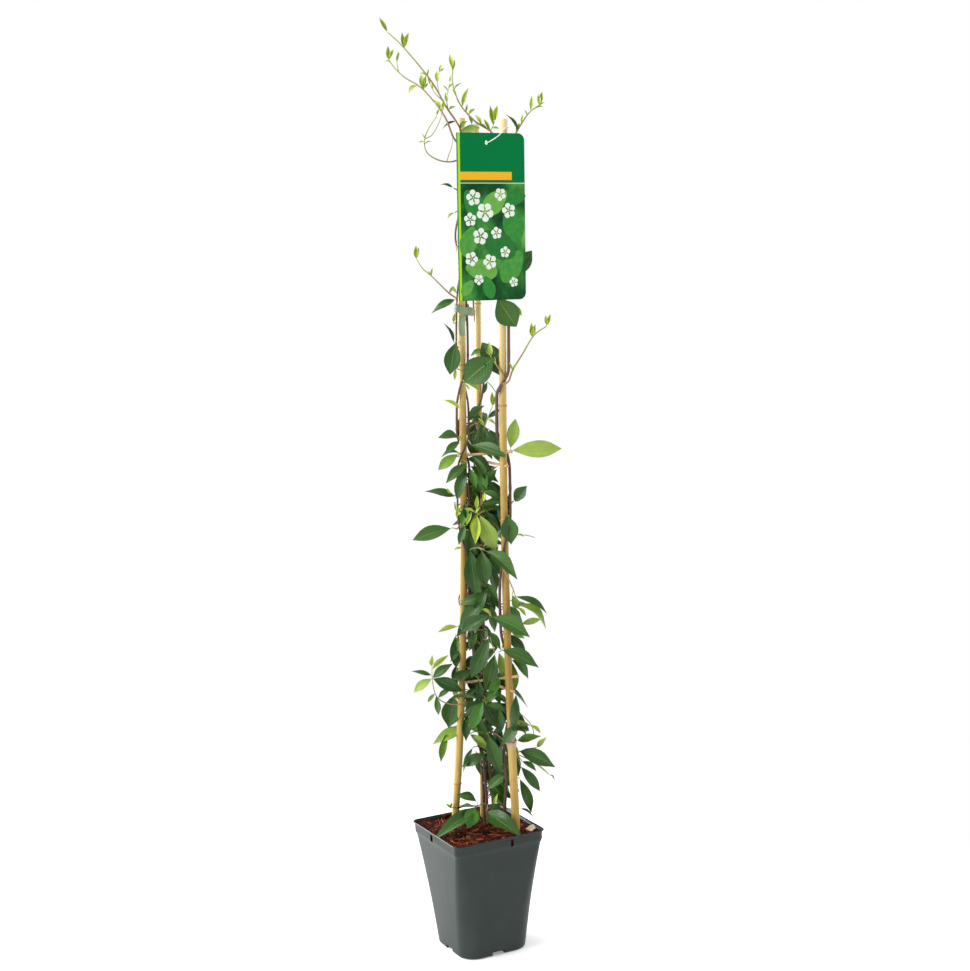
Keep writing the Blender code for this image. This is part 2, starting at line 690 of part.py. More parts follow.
def leaf(base, direction, length, face, kind, grow=0.0):
    """A thin closed blade with a stalk, as a bmesh; grow thickens it all over, to test for room.

    Its upper and lower sides are split along the same diagonals, so that they never cross.
    """
    width, arch = LEAF_KINDS[kind]
    tilt = math.radians(face)
    upper = UP * math.cos(tilt) - AWAY * math.sin(tilt)
    upper = (upper - direction * upper.dot(direction)).normalized()
    side = direction.cross(upper)
    small = length < SMALL_LEAF
    stalk = SMALL_STALK if small else STALK
    rows = [(0.0, STALK_HALF, STALK_HALF), (stalk, 0.8, STALK_HALF)]
    for share, full in SMALL_BLADE if small else BLADE:
        along = stalk + (length - stalk) * share
        rows.append((along, full * width * length / 2, BLADE_THICKNESS / 2))
    shell = bmesh.new()
    rings = []
    for along, half, thick in rows:
        lift = arch * length * math.sin(math.pi * along / length)
        middle = base + (direction * along + upper * lift) * MM
        fold = upper * (BLADE_FOLD * (half - STALK_HALF))
        out, up = side * (half + grow), upper * (thick + grow)
        rings.append([shell.verts.new(p) for p in (
            middle + (fold - out) * MM, middle - up * MM,
            middle + (fold + out) * MM, middle + up * MM)])
    tip = shell.verts.new(base + direction * (length + grow) * MM)
    for low, high in zip(rings, rings[1:]):
        for edge in (0, 2):
            for middle in (1, 3):
                shell.faces.new((low[edge], low[middle], high[middle]))
                shell.faces.new((low[edge], high[middle], high[edge]))
    shell.faces.new(rings[0][::-1])
    for i in range(4):
        shell.faces.new((rings[-1][i], rings[-1][(i + 1) % 4], tip))
    return shell


def tree_of(shell):
    """The search tree of a bmesh, which is used up."""
    tree = BVHTree.FromBMesh(shell)
    shell.free()
    return tree


def tree_of_object(thing):
    corners = [v.co for v in thing.data.vertices]
    return BVHTree.FromPolygons(corners, [tuple(p.vertices) for p in thing.data.polygons])


class Room:
    """The solids made so far, and whether a new one would touch them."""

    def __init__(self):
        self.trees = {}

    def add(self, thing):
        self.trees[thing.name] = tree_of_object(thing)
        return thing

    def free(self, tree, leave_out=()):
        return not any(
            tree.overlap(other) for name, other in self.trees.items() if name not in leave_out)


# Turns and rises tried in order, until a leaf or a twig touches nothing.
TRIES = [(0, 0), (7, 0), (-7, 0), (0, 8), (0, -8), (14, 6), (-14, 6), (14, -8), (-14, -8),
         (22, 0), (-22, 0), (0, 18), (0, -18), (30, 12), (-30, 12), (32, -12), (-32, -12),
         (44, 0), (-44, 0), (60, 10), (-60, 10)]


def fitted_leaf(room, base, spec):
    """A leaf's direction and length near the wanted ones where it touches nothing, or None."""
    turn, rise, length, face, kind = spec
    for share in (1.0, 0.82):
        for turned, raised in TRIES:
            direction = heading(turn + turned, rise + raised)
            grown = tree_of(leaf(base, direction, length * share, face, kind, grow=LEAF_ROOM))
            if room.free(grown):
                return direction, length * share, face, kind
    return None


def fuse(name, shells, finish):
    """One closed solid from several that run into each other."""
    whole, *rest = [solid(name, shell, finish) for shell in shells]
    whole.name = name
    return boolean(whole, rest, "UNION")


# ---------------------------------------------------------------- sprays: a twig with a few leaves

TWIG_RADIUS = 1.1
TWIG_SIDES = 5
TWIG_GAP = 0.4           # between a vine's bark and the foot of a twig or a shoot
TWIG_ROOM = 0.35         # the gap that a twig is tested for
TWIG_PAST = 2.0          # how far past its end a twig is tested
LEAST_TWIG = 3.0         # the shortest twig, past its vine's bark
LEAST_SLANT = 0.4        # the sine of the sharpest angle between a vine and what grows from it
ROOT_DEPTH = 0.5         # how deep the first leaf's stalk starts inside its twig
ROOT_STEP = 0.23         # how much deeper each next leaf starts, so that no two share a point

# Each spray: its vine, the height it grows from, its twig's end, and its leaves as (tip, how much
# the leaf faces up (0) or toward the best side (90), kind). Places are (right, away, up).
SPRAYS = {
    "spray_beside_card": ("vine_left_rear", 1004, (-1, 4, 1009), [
        ((-18, 0, 1015), 60, "usual"), ((-9, 0, 986), 60, "young")]),
    "spray_below_card_left": ("vine_left_front", 850, (-7, 12, 852), [
        ((-34, 3, 851), 44, "usual"), ((-14, 44, 848), -20, "usual")]),
    "spray_below_card_right": ("vine_right", 887, (57, -20, 868), [
        ((75, -19, 829), 86, "broad"), ((38, -14, 890), 60, "usual")]),
    "spray_heart_leaf": ("vine_left_front", 812, (-5, 8, 813), [
        ((-13, 4, 769), 85, "wide"), ((-20, 7, 839), 40, "slim"), ((-16, 44, 792), -30, "usual")]),
    "spray_broad_centre": ("vine_right", 764, (45, -14, 784), [
        ((4, -6, 764), 82, "broad"), ((33, 6, 806), 60, "usual"), ((37, -10, 811), 80, "young")]),
    "spray_left_young": ("vine_left_rear", 762, (1, 6, 763), [
        ((25, 3, 748), 50, "young"), ((-20, 6, 742), 50, "young")]),
    "spray_left_upper": ("vine_left_rear", 688, (-6, 11, 686), [
        ((-33, 3, 691), 32, "usual"), ((-22, 0, 673), 66, "usual"), ((-33, 5, 648), 60, "usual")]),
    "spray_front_arch": ("vine_left_front", 684, (9, 9, 679), [
        ((54, -19, 665), 50, "usual"), ((30, 4, 630), 58, "slim"), ((-14, 4, 640), 60, "usual")]),
    "spray_big_pale": ("vine_right", 668, (61, -8, 670), [
        ((127, -6, 667), 66, "usual"), ((70, -6, 709), 84, "wide")]),
    "spray_left_narrow": ("vine_left_front", 608, (-13, 13, 611), [
        ((-53, 8, 622), 42, "usual"), ((-22, 11, 630), 70, "young"), ((-10, 7, 572), 65, "usual")]),
    "spray_right_small": ("vine_right", 600, (62, -9, 605), [
        ((71, -6, 629), 70, "usual"), ((82, -12, 614), 72, "usual"), ((57, -17, 552), 76, "usual")]),
    "spray_middle_top": ("vine_middle", 606, (20, 0, 601), [
        ((50, -4, 604), 45, "usual"), ((15, -2, 618), 80, "young"), ((46, 2, 584), 50, "usual"),
        ((22, 4, 640), 60, "usual")]),
    "spray_pale_hanging": ("vine_middle", 588, (17, -3, 588), [
        ((37, -6, 540), 84, "wide"), ((-3, -5, 594), 60, "young"), ((2, -6, 566), 65, "young")]),
    "spray_left_big": ("vine_left_front", 568, (-14, 11, 567), [
        ((-70, 3, 552), 60, "usual"), ((-10, 2, 545), 60, "usual")]),
    "spray_hanging_pair": ("vine_middle", 545, (13, 0, 543), [
        ((8, -2, 480), 82, "wide"), ((23, -8, 492), 84, "wide"), ((64, -33, 508), 30, "slim"),
        ((45, 0, 512), 70, "usual")]),
    "spray_right_upper": ("vine_right", 520, (58, -19, 488), [
        ((103, -14, 455), 34, "slim"), ((65, -8, 460), 78, "wide"), ((101, -12, 438), 26, "slim")]),
    "spray_crossing": ("vine_middle", 458, (27, -13, 456), [
        ((-14, 2, 431), 66, "usual"), ((78, -25, 428), 56, "usual"), ((38, -14, 478), 70, "slim")]),
    "spray_long_hanging": ("vine_middle", 416, (27, -1, 414), [
        ((-2, 2, 367), 76, "usual"), ((17, -8, 350), 84, "usual"), ((44, -2, 364), 50, "slim"),
        ((-3, 6, 400), 66, "usual")]),
    "spray_right_middle": ("vine_right", 412, (44, 0, 410), [
        ((88, -8, 388), 46, "usual"), ((75, -6, 369), 34, "slim"), ((70, -4, 424), 70, "wide")]),
    "spray_low_left": ("vine_left_rear", 302, (-4, 31, 300), [
        ((-57, 34, 279), 44, "usual"), ((11, 24, 287), 60, "slim"), ((-38, 31, 322), 75, "wide")]),
    "spray_low_right": ("vine_right", 262, (54, 2, 262), [
        ((106, -14, 247), 62, "usual"), ((88, -8, 288), 62, "usual"), ((85, -8, 212), 56, "usual"),
        ((62, 4, 215), 50, "usual")]),
    "spray_low_middle": ("vine_middle", 284, (17, -2, 292), [
        ((34, -8, 235), 78, "usual"), ((-17, 2, 250), 70, "wide"), ((44, 2, 276), 60, "usual")]),
    "spray_low_centre": ("vine_middle", 338, (15, 2, 337), [
        ((-32, 4, 343), 24, "slim"), ((-13, 4, 321), 60, "usual"), ((-5, -4, 297), 62, "usual"),
        ((45, -8, 324), 56, "usual"), ((10, 0, 366), 70, "usual")]),
    "spray_foot_left": ("vine_left_front", 190, (0, 6, 190), [
        ((-54, -37, 173), 50, "usual"), ((-13, -34, 173), 60, "usual"), ((-27, 4, 208), 40, "slim")]),
    "spray_foot_right": ("vine_middle", 186, (14, 4, 186), [
        ((50, -28, 172), 60, "usual"), ((36, 30, 182), 20, "usual")]),
    "spray_rear_middle": ("vine_back", 560, (18, 60, 564), [
        ((50, 78, 538), -45, "usual"), ((-2, 78, 530), -50, "usual"), ((-20, 60, 566), -20, "usual"),
        ((60, 46, 552), 0, "usual")]),
    "spray_rear_low": ("vine_back", 300, (8, 62, 304), [
        ((36, 80, 282), -45, "usual"), ((-22, 74, 288), -40, "usual"), ((-28, 52, 318), -20, "usual"),
        ((46, 56, 312), 0, "usual")]),
}


def make_spray(room, name, stem_name, height, end, leaves):
    """A short twig on a vine with its leaves, grown clear of everything made before it."""
    start, along, radius = STEMS[stem_name].reading(height)
    turn, rise, far = bearing(at(*end) - start)
    for turned, raised in TRIES:
        ahead = heading(turn + turned, rise + raised)
        slant = max(LEAST_SLANT, ahead.cross(along).length)
        reach = (radius + TWIG_GAP + TWIG_RADIUS * abs(ahead.dot(along))) / slant
        foot = start + ahead * reach * MM
        tip = start + ahead * max(far, reach + LEAST_TWIG) * MM
        line = [foot, tip + ahead * TWIG_PAST * MM]
        thin, thick = [TWIG_RADIUS] * 2, [TWIG_RADIUS + TWIG_ROOM] * 2
        clear = room.free(tree_of(tube(line, thick, TWIG_SIDES)), (stem_name,))
        if clear and room.free(tree_of(tube(line, thin, TWIG_SIDES))):
            break
    else:
        print(f"{name}: its twig has no room")
    shells = [tube([foot, tip], [TWIG_RADIUS] * 2, TWIG_SIDES)]
    for order, (leaf_tip, face, kind) in enumerate(leaves):
        root = tip - ahead * (ROOT_DEPTH + ROOT_STEP * order) * MM
        fitted = fitted_leaf(room, root, (*bearing(at(*leaf_tip) - root), face, kind))
        if fitted:
            shells.append(leaf(root, *fitted))
        else:
            print(f"{name}: no room for its leaf {order}")
    return room.add(fuse(name, shells, "dark_leaf"))


# ---------------------------------------------------------------- shoots: long young growth

# vine, height, route in millimetres, radius at its foot, pairs of young leaves (share, length)
SHOOTS = {
    "shoot_top_left": ("vine_left_rear", 1074, [
        (8, -2, 1087), (-7, 1, 1111), (-25, 4, 1144), (-57, 1, 1185), (-77, -1, 1205)], 1.3,
        [(0.24, 12), (0.5, 14), (0.78, 18), (1.0, 18)]),
    "shoot_top_left_lower": ("vine_left_rear", 1062, [
        (1, -3, 1072), (-10, -6, 1100), (-35, -2, 1133), (-58, 0, 1149), (-70, 1, 1161), (-77, 0, 1171)],
        1.2, [(0.3, 12), (0.6, 16), (0.88, 18), (1.0, 16)]),
    "shoot_loop": ("vine_left_rear", 1045, [
        (-5, -3, 1042), (-20, -7, 1045), (-33, -10, 1054), (-36, -11, 1068), (-31, -12, 1082),
        (-19, -13, 1099)], 1.0,
        [(0.62, 8), (1.0, 9)]),
    "shoot_top_middle": ("vine_right", 1062, [
        (48, 6, 1079), (30, 4, 1091), (13, 8, 1110), (5, 9, 1128), (2, 8, 1143), (3, 7, 1158)], 1.2,
        [(0.36, 15), (0.56, 18), (0.76, 13), (1.0, 16)]),
    "shoot_top_right": ("vine_right", 1050, [
        (72, 4, 1058), (81, 4, 1076), (90, 3, 1090), (100, 1, 1102), (111, 0, 1108)], 1.2,
        [(0.4, 14), (0.8, 16), (1.0, 15)]),
    "shoot_left": ("vine_left_front", 868, [
        (-12, 4, 876), (-20, 2, 884), (-34, 1, 899), (-45, 0, 909), (-52, 0, 921)], 1.0,
        [(0.6, 9), (1.0, 15)]),
    "shoot_right": ("vine_right", 758, [
        (60, -25, 762), (66, -22, 776), (80, -16, 797), (95, -10, 819), (112, -6, 830)], 1.2,
        [(0.3, 9), (0.74, 18), (1.0, 14)]),
    "shoot_centre": ("vine_middle", 676, [
        (26, 14, 696), (33, 9, 712), (42, 6, 729)], 1.0,
        [(0.55, 14), (0.8, 12), (1.0, 16)]),
    "shoot_low_left": ("vine_left_front", 330, [
        (-8, 6, 334), (-22, 2, 332), (-38, 0, 336), (-49, -1, 346), (-53, -2, 366), (-53, -2, 386)], 1.2,
        [(0.5, 20), (0.76, 30), (0.9, 24), (1.0, 14)]),
}
SHOOT_STEP = 26.0
SHOOT_SIDES = 4
PAIR_SPREAD = math.radians(38)
TIP_SPREAD = math.radians(14)            # the last pair of a shoot is still almost closed
SHOOT_TAPER = 0.45                       # how much thinner a shoot is at its end
SHOOT_FOOT_GAP = 1.8                     # between a vine's tip and a shoot that goes on from it
PAIR_DEPTH, PAIR_STEP = 0.8, 0.37        # how deep the two leaves of a pair start in their shoot


def pair_directions(ahead, order, spread):
    """Directions of two opposite leaves; each pair stands crosswise to the one before."""
    flat = ahead.cross(AWAY).normalized()
    side = flat if order % 2 else (flat + AWAY * 0.9).normalized()
    side = (side - ahead * side.dot(ahead)).normalized()
    lean = ahead * math.cos(spread)
    return lean + side * math.sin(spread), lean - side * math.sin(spread)


def make_shoot(room, name, stem_name, height, places, radius, pairs):
    """A long thin shoot with small leaves in crosswise pairs."""
    start, along, stem_radius = STEMS[stem_name].reading(height)
    points = [at(*p) for p in places]
    ahead = (points[0] - start).normalized()
    slant = max(LEAST_SLANT, ahead.cross(along).length)
    beyond = height >= STEMS[stem_name].tip
    beside = (stem_radius + TWIG_GAP + radius * abs(ahead.dot(along))) / slant
    reach = SHOOT_FOOT_GAP if beyond else beside
    route = smooth_route([start + ahead * reach * MM, *points], SHOOT_STEP * MM)
    last = len(route) - 1
    radii = [radius * (1 - SHOOT_TAPER * i / last) for i in range(last + 1)]
    line = tree_of(tube(route, radii, SHOOT_SIDES))
    touched = [n for n, other in room.trees.items() if line.overlap(other)]
    if touched:
        print(f"{name}: its line touches {touched}; it starts at {seen(start)}")
    shells = [tube(route, radii, SHOOT_SIDES)]
    for order, (share, length) in enumerate(pairs):
        i = round(share * last)
        ahead = (route[i] - route[i - 1]).normalized()
        spread = PAIR_SPREAD if share < 1 else TIP_SPREAD
        for side, direction in enumerate(pair_directions(ahead, order, spread)):
            root = route[i] - ahead * (PAIR_DEPTH + PAIR_STEP * side) * MM
            grown = tree_of(leaf(root, direction, length, YOUNG_FACE, "young", grow=LEAF_ROOM))
            if room.free(grown):
                shells.append(leaf(root, direction, length, YOUNG_FACE, "young"))
    return room.add(fuse(name, shells, "green_shoot"))


# ---------------------------------------------------------------- the whole plant

def main():
    for thing in list(bpy.data.objects):
        bpy.data.objects.remove(thing)
    room = Room()
    room.add(make_pot())
    substrate = make_substrate()
    rungs, holes = make_rungs()
    sockets = []
    for name, cane in CANES.items():
        low, high = cane.point(CANE_FOOT - CLEARANCE), cane.point(SOIL_HEIGHT + SOCKET_ABOVE)
        reach = cane.radius(CANE_FOOT) + 2 * CLEARANCE
        sockets.append(rod("socket", low, high, reach, SOCKET_SIDES, "bark_substrate"))
        room.add(boolean(make_cane(name, cane), holes[name], "DIFFERENCE"))
    for name, stem in STEMS.items():
        made = room.add(make_stem(name, stem))
        clear = (SOIL_HEIGHT + STEM_SOCKET_ABOVE) * MM
        above = next(i for i, p in enumerate(stem.route) if p.z > clear)
        buried = stem.route[:above + 1]
        buried[0] = buried[0] - (buried[1] - buried[0]).normalized() * CLEARANCE * MM
        reach = [stem.foot_radius + 2 * CLEARANCE] * len(buried)
        sockets.append(solid("socket", tube(buried, reach, STEM_SIDES), "bark_substrate"))
    room.add(boolean(substrate, sockets, "DIFFERENCE"))
    for piece in (*rungs, make_card(), make_hook(), make_tie_band(), make_tie_tail(), make_chip()):
        room.add(piece)
    for name, (stem, height, places, radius, pairs) in SHOOTS.items():
        make_shoot(room, name, stem, height, places, radius, pairs)
    for name, (stem, height, end, leaves) in SPRAYS.items():
        make_spray(room, name, stem, height, end, leaves)


main()
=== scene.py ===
# %% [markdown]
# # Star jasmine on three canes in a square pot
#
# A climbing evergreen as garden centres sell it: three bamboo canes stand in a square nursery pot,
# thin split rungs hold them apart, and a few woody vines wind up them. The plant carries most of its
# leaves on the lower half, and long thin shoots wave above the canes. A folded card hangs from the
# right-hand cane by a plastic hook.
#
# Plain solids give every place and size. Each piece made here stands for one of them, in the same
# place, with the surface that the real thing has. Working piece by piece in this way keeps the names
# of the parts, so any leaf spray or cane can be found, recoloured or swapped later.

import math
import random

import bpy
from mathutils import Matrix, Vector, noise


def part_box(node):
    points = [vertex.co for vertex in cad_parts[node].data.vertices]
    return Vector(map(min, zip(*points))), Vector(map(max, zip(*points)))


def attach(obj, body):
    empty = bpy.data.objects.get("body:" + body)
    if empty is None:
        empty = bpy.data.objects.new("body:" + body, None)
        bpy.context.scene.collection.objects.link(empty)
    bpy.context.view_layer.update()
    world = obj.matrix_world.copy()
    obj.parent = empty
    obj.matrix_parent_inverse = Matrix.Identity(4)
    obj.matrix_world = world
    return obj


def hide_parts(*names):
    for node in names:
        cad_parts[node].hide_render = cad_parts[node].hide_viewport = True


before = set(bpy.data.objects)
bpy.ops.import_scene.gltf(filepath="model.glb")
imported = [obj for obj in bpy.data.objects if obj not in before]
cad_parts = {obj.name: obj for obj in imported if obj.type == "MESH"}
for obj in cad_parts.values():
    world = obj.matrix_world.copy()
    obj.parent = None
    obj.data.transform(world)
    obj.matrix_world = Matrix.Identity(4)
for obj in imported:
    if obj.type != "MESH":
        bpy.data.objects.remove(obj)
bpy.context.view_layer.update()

# %% [markdown]
# The plant's best side is turned a little from the pot's front wall. Places on the plant are given
# from that side, in millimetres to the right, away and up, and directions as degrees round it. They
# could be given along the pot's own walls, but a leaf is easier to place as the eye sees it.

# %% Places and directions
MM = 0.001                        # every size below is in millimetres unless it says metres
BEST_SIDE = math.radians(-27.5)
RIGHT = Vector((math.cos(BEST_SIDE), math.sin(BEST_SIDE), 0.0))
AWAY = Vector((-math.sin(BEST_SIDE), math.cos(BEST_SIDE), 0.0))
UP = Vector((0.0, 0.0, 1.0))


def at(right, away, up):
    """A place in millimetres, seen from the best side."""
    return (RIGHT * right + AWAY * away + UP * up) * MM


def heading(turn, rise):
    """A unit vector: turn 0 is right, 90 away, 180 left, 270 front; rise is above the horizon."""
    turn, rise = math.radians(turn), math.radians(rise)
    flat = RIGHT * math.cos(turn) + AWAY * math.sin(turn)
    return flat * math.cos(rise) + UP * math.sin(rise)


# %% [markdown]
# ## Finishes
#
# Every finish is wired from shader nodes, with no picture in it, so it stays sharp close up. The nodes
# could be placed and linked one by one, which takes a screenful for each pattern. Here a node's output
# can be added, multiplied and compared like a plain number, so a pattern reads as a formula.


# %% Sums with nodes
class Wire:
    """A node's output, which takes part in sums like a number."""

    def __init__(self, finish, socket):
        self.finish, self.socket = finish, socket

    def math(self, operation, *others):
        """A Math node on this wire, with more wires or numbers as its other inputs."""
        return self.finish.node("Math", {"operation": operation}, dict(enumerate((self, *others))))

    def __add__(self, other):
        return self.math("ADD", other)

    def __sub__(self, other):
        return self.math("SUBTRACT", other)

    def __mul__(self, other):
        return self.math("MULTIPLY", other)

    def __truediv__(self, other):
        return self.math("DIVIDE", other)

    def __rsub__(self, other):
        return self.math("MULTIPLY_ADD", -1.0, other)

    __radd__, __rmul__ = __add__, __mul__

    def size(self):
        """The value without its sign."""
        return self.math("ABSOLUTE")

    def step(self, low, high):
        """0 below low, 1 above high and smooth between them."""
        settings = {"interpolation_type": "SMOOTHSTEP"}
        inputs = {"Value": self, "From Min": low, "From Max": high}
        return self.finish.node("MapRange", settings, inputs)


# %% [markdown]
# A finish starts as Blender's own shader. What is the same all over the surface, such as the strength
# of its gloss, is set on the shader itself; colour, roughness and bump are fed from patterns.


# %% A finish under construction
class Finish:
    """A Principled material whose patterns are added call by call."""

    def __init__(self, name, **fixed):
        self.material = bpy.data.materials.new(name)
        self.material.use_nodes = True
        self.tree = self.material.node_tree
        self.shader = self.tree.nodes["Principled BSDF"]
        for socket, value in fixed.items():
            self.shader.inputs[socket.replace("_", " ")].default_value = value

    def node(self, kind, settings=None, inputs=None, output=0):
        """Any shader node: its type, then its settings, then its inputs."""
        made = self.tree.nodes.new("ShaderNode" + kind)
        for key, value in (settings or {}).items():
            setattr(made, key, value)
        for key, value in (inputs or {}).items():
            self.feed(made.inputs[key], value)
        return Wire(self, made.outputs[output])

    def feed(self, socket, value):
        """Links a wire to a socket, or sets a plain value on it."""
        if isinstance(value, Wire):
            self.tree.links.new(value.socket, socket)
        elif isinstance(value, tuple) and len(value) == 3 and socket.type == "RGBA":
            socket.default_value = (*value, 1.0)
        else:
            socket.default_value = value

    def place(self, x=1.0, y=1.0, z=1.0):
        """Object coordinates, stretched per axis."""
        spot = self.node("TexCoord", output=3)
        return self.node("VectorMath", {"operation": "MULTIPLY"}, {0: spot, 1: (x, y, z)})

    def axis(self, letter):
        """How far along X, Y or Z a place is, in metres."""
        spot = self.node("SeparateXYZ", inputs={0: self.node("TexCoord", output=3)})
        return Wire(self, spot.socket.node.outputs["XYZ".index(letter)])

    def noise(self, vector, scale, detail=2.0, roughness=0.5):
        """Soft random blots from 0 to 1, smaller with a larger scale."""
        inputs = {"Vector": vector, "Scale": scale, "Detail": detail, "Roughness": roughness}
        return self.node("TexNoise", inputs=inputs)

    def mix(self, share, first, second):
        """The first colour at 0 and the second at 1."""
        return self.node("Mix", {"data_type": "RGBA"}, {0: share, 6: first, 7: second}, output=2)

    def ramp(self, share, *stops):
        """Colours at places from 0 to 1."""
        made = self.node("ValToRGB", inputs={0: share})
        ramp = made.socket.node.color_ramp
        for i, (place, colour) in enumerate(stops):
            stop = ramp.elements[i] if i < 2 else ramp.elements.new(place)
            stop.position, stop.color = place, (*colour, 1.0)
        return made

    def attribute(self, name):
        """A value that the mesh itself carries."""
        return self.node("Attribute", {"attribute_name": name}, output=2)

    def colour(self, value):
        """The surface's own colour."""
        self.feed(self.shader.inputs["Base Color"], value)

    def roughness(self, value):
        """How dull the surface is, from 0 for a mirror to 1 for chalk."""
        self.feed(self.shader.inputs["Roughness"], value)

    def bump(self, height, distance, strength=1.0):
        """Small relief that only the light shows; the distance is in metres."""
        inputs = {"Height": height, "Distance": distance, "Strength": strength}
        self.feed(self.shader.inputs["Normal"], self.node("Bump", inputs=inputs))


# %% [markdown]
# ## Camera, floor and light
#
# A long lens stands two metres off, a little above the middle of the plant and looking slightly
# down, so the pot's mouth opens to show its bark. A wide lens close by would show as much, but it
# would make the pot look small and the tops of the canes spread apart.

# %% Camera
LENS_LENGTH, CAMERA_PLACE = 66.8, (-1.0501, -2.0725, 0.964)
LOOK_DOWN, ROLL = 8.3, -2.0       # degrees
lens = bpy.data.cameras.new("camera")
lens.sensor_fit, lens.sensor_width, lens.lens = "HORIZONTAL", 36.0, LENS_LENGTH
camera = bpy.data.objects.new("camera", lens)
bpy.context.scene.collection.objects.link(camera)
camera.location = CAMERA_PLACE
aim = Matrix.Rotation(BEST_SIDE, 4, "Z") @ Matrix.Rotation(math.radians(90.0 - LOOK_DOWN), 4, "X")
camera.rotation_euler = (aim @ Matrix.Rotation(math.radians(ROLL), 4, "Z")).to_euler()
bpy.context.scene.camera = camera
bpy.context.scene.view_settings.view_transform = "Standard"
print("camera", round(camera.location.length, 2), "m from the pot's foot")

# %% [markdown]
# The floor is a broad pale disc. It takes the pot's shadow close by and fades into plain white
# further out, so that no horizon shows. A bent paper backdrop would do the same in a real studio; the
# fade is simpler, and it works from every side.

# %% Floor
FADE_NEAR, FADE_FAR = 0.35, 0.85  # metres from the pot
bpy.ops.object.select_all(action="DESELECT")
bpy.ops.mesh.primitive_circle_add(vertices=96, radius=9.0, fill_type="NGON", location=(0, 0, -0.0004))
floor = bpy.context.object
floor.name = "floor"
bpy.ops.object.transform_apply(location=True, rotation=True, scale=True)
floor_white = Finish("floor_white", Roughness=0.9, Specular_IOR_Level=0.0,
                     Emission_Color=(1, 1, 1, 1), Emission_Strength=0.25)
floor_white.colour((0.93, 0.93, 0.93))
spread = floor_white.node("VectorMath", {"operation": "LENGTH"}, {0: floor_white.place()}, output=1)
glow = floor_white.node("Emission", inputs={"Color": (1.0, 1.0, 1.0), "Strength": 1.0})
paper = Wire(floor_white, floor_white.shader.outputs[0])
fade = floor_white.node("MixShader", inputs={0: spread.step(FADE_NEAR, FADE_FAR), 1: paper, 2: glow})
floor_white.feed(floor_white.tree.nodes["Material Output"].inputs["Surface"], fade)
floor.data.materials.append(floor_white.material)
print("floor fades between", FADE_NEAR, "and", FADE_FAR, "m")

# %% [markdown]
# The light is one big soft window high on the left and in front, one behind on the left that the
# pot's left wall mirrors, weaker ones on the right and above, and a white room. A sun lamp would give
# hard leaf shadows; square area lights give the even light of a studio. The camera sees the room as
# plain white, whatever strength it lights with.

# %% Room light
ROOM_STRENGTH = 0.55
world = bpy.data.worlds.new("white_room")
bpy.context.scene.world = world
world.use_nodes = True
nodes, links = world.node_tree.nodes, world.node_tree.links
lit, seen = nodes["Background"], nodes.new("ShaderNodeBackground")
lit.inputs["Color"].default_value = (1.0, 1.0, 1.0, 1.0)
lit.inputs["Strength"].default_value = ROOM_STRENGTH
seen.inputs["Color"].default_value = (1.0, 1.0, 1.0, 1.0)
rays, either = nodes.new("ShaderNodeLightPath"), nodes.new("ShaderNodeMixShader")
links.new(rays.outputs["Is Camera Ray"], either.inputs["Fac"])
links.new(lit.outputs["Background"], either.inputs[1])
links.new(seen.outputs["Background"], either.inputs[2])
links.new(either.outputs["Shader"], nodes["World Output"].inputs["Surface"])
print("room strength", ROOM_STRENGTH)


# %% Windows
def window(name, right, away, up, size, power):
    """A square soft light aimed at the middle of the plant."""
    light = bpy.data.lights.new(name, "AREA")
    light.shape, light.size, light.energy = "SQUARE", size, power
    made = bpy.data.objects.new(name, light)
    bpy.context.scene.collection.objects.link(made)
    made.location = at(right, away, up)
    towards = at(20, 0, 520) - made.location
    made.rotation_euler = towards.to_track_quat("-Z", "Y").to_euler()
    print(name, power, "W,", round(towards.length, 2), "m away")


window("window_left", -2100, -1000, 1700, 1.6, 66.0)
window("window_behind", -1900, 1500, 700, 1.6, 96.0)
window("window_right", 2000, 100, 1300, 1.8, 17.0)
window("window_top", 200, 300, 2700, 1.6, 14.0)

# %% [markdown]
# ## Hand tools
#
# The shapes are made as they would be by hand: a primitive at its place, points picked by where they
# are, and the usual edit-mode steps. These few functions are the clicks that every piece needs.


# %% Selecting
def only(*things):
    """Selects just these, the first one active."""
    bpy.ops.object.select_all(action="DESELECT")
    for thing in things:
        thing.select_set(True)
    bpy.context.view_layer.objects.active = things[0]


def pick(thing, test):
    """Enters edit mode with the points selected that pass the test."""
    bpy.ops.object.mode_set(mode="EDIT")
    bpy.ops.mesh.select_mode(type="VERT")
    bpy.ops.mesh.select_all(action="DESELECT")
    bpy.ops.object.mode_set(mode="OBJECT")
    for point in thing.data.vertices:
        point.select = test(point.co)
    bpy.ops.object.mode_set(mode="EDIT")


def edit_all():
    """Enters edit mode with everything selected."""
    bpy.ops.object.mode_set(mode="EDIT")
    bpy.ops.mesh.select_all(action="SELECT")


def settle(thing):
    """Leaves edit mode and puts the object's origin, turn and size to rest."""
    bpy.ops.object.mode_set(mode="OBJECT")
    only(thing)
    bpy.ops.object.transform_apply(location=True, rotation=True, scale=True)
    return thing


# %% Shaping
def primitive(shape, **settings):
    """A new primitive, with its place and size put into its mesh."""
    bpy.ops.object.select_all(action="DESELECT")
    getattr(bpy.ops.mesh, f"primitive_{shape}_add")(**settings)
    return settle(bpy.context.object)


def modify(thing, kind, **settings):
    """Adds a modifier and applies it."""
    only(thing)
    step = thing.modifiers.new(kind.lower(), kind)
    for key, value in settings.items():
        setattr(step, key, value)
    bpy.ops.object.modifier_apply(modifier=step.name)
    return thing


def join(things, name):
    """One object from several, with the finishes of all of them."""
    only(*things)
    if len(things) > 1:
        bpy.ops.object.join()
    whole = bpy.context.object
    whole.name = whole.data.name = name
    return whole


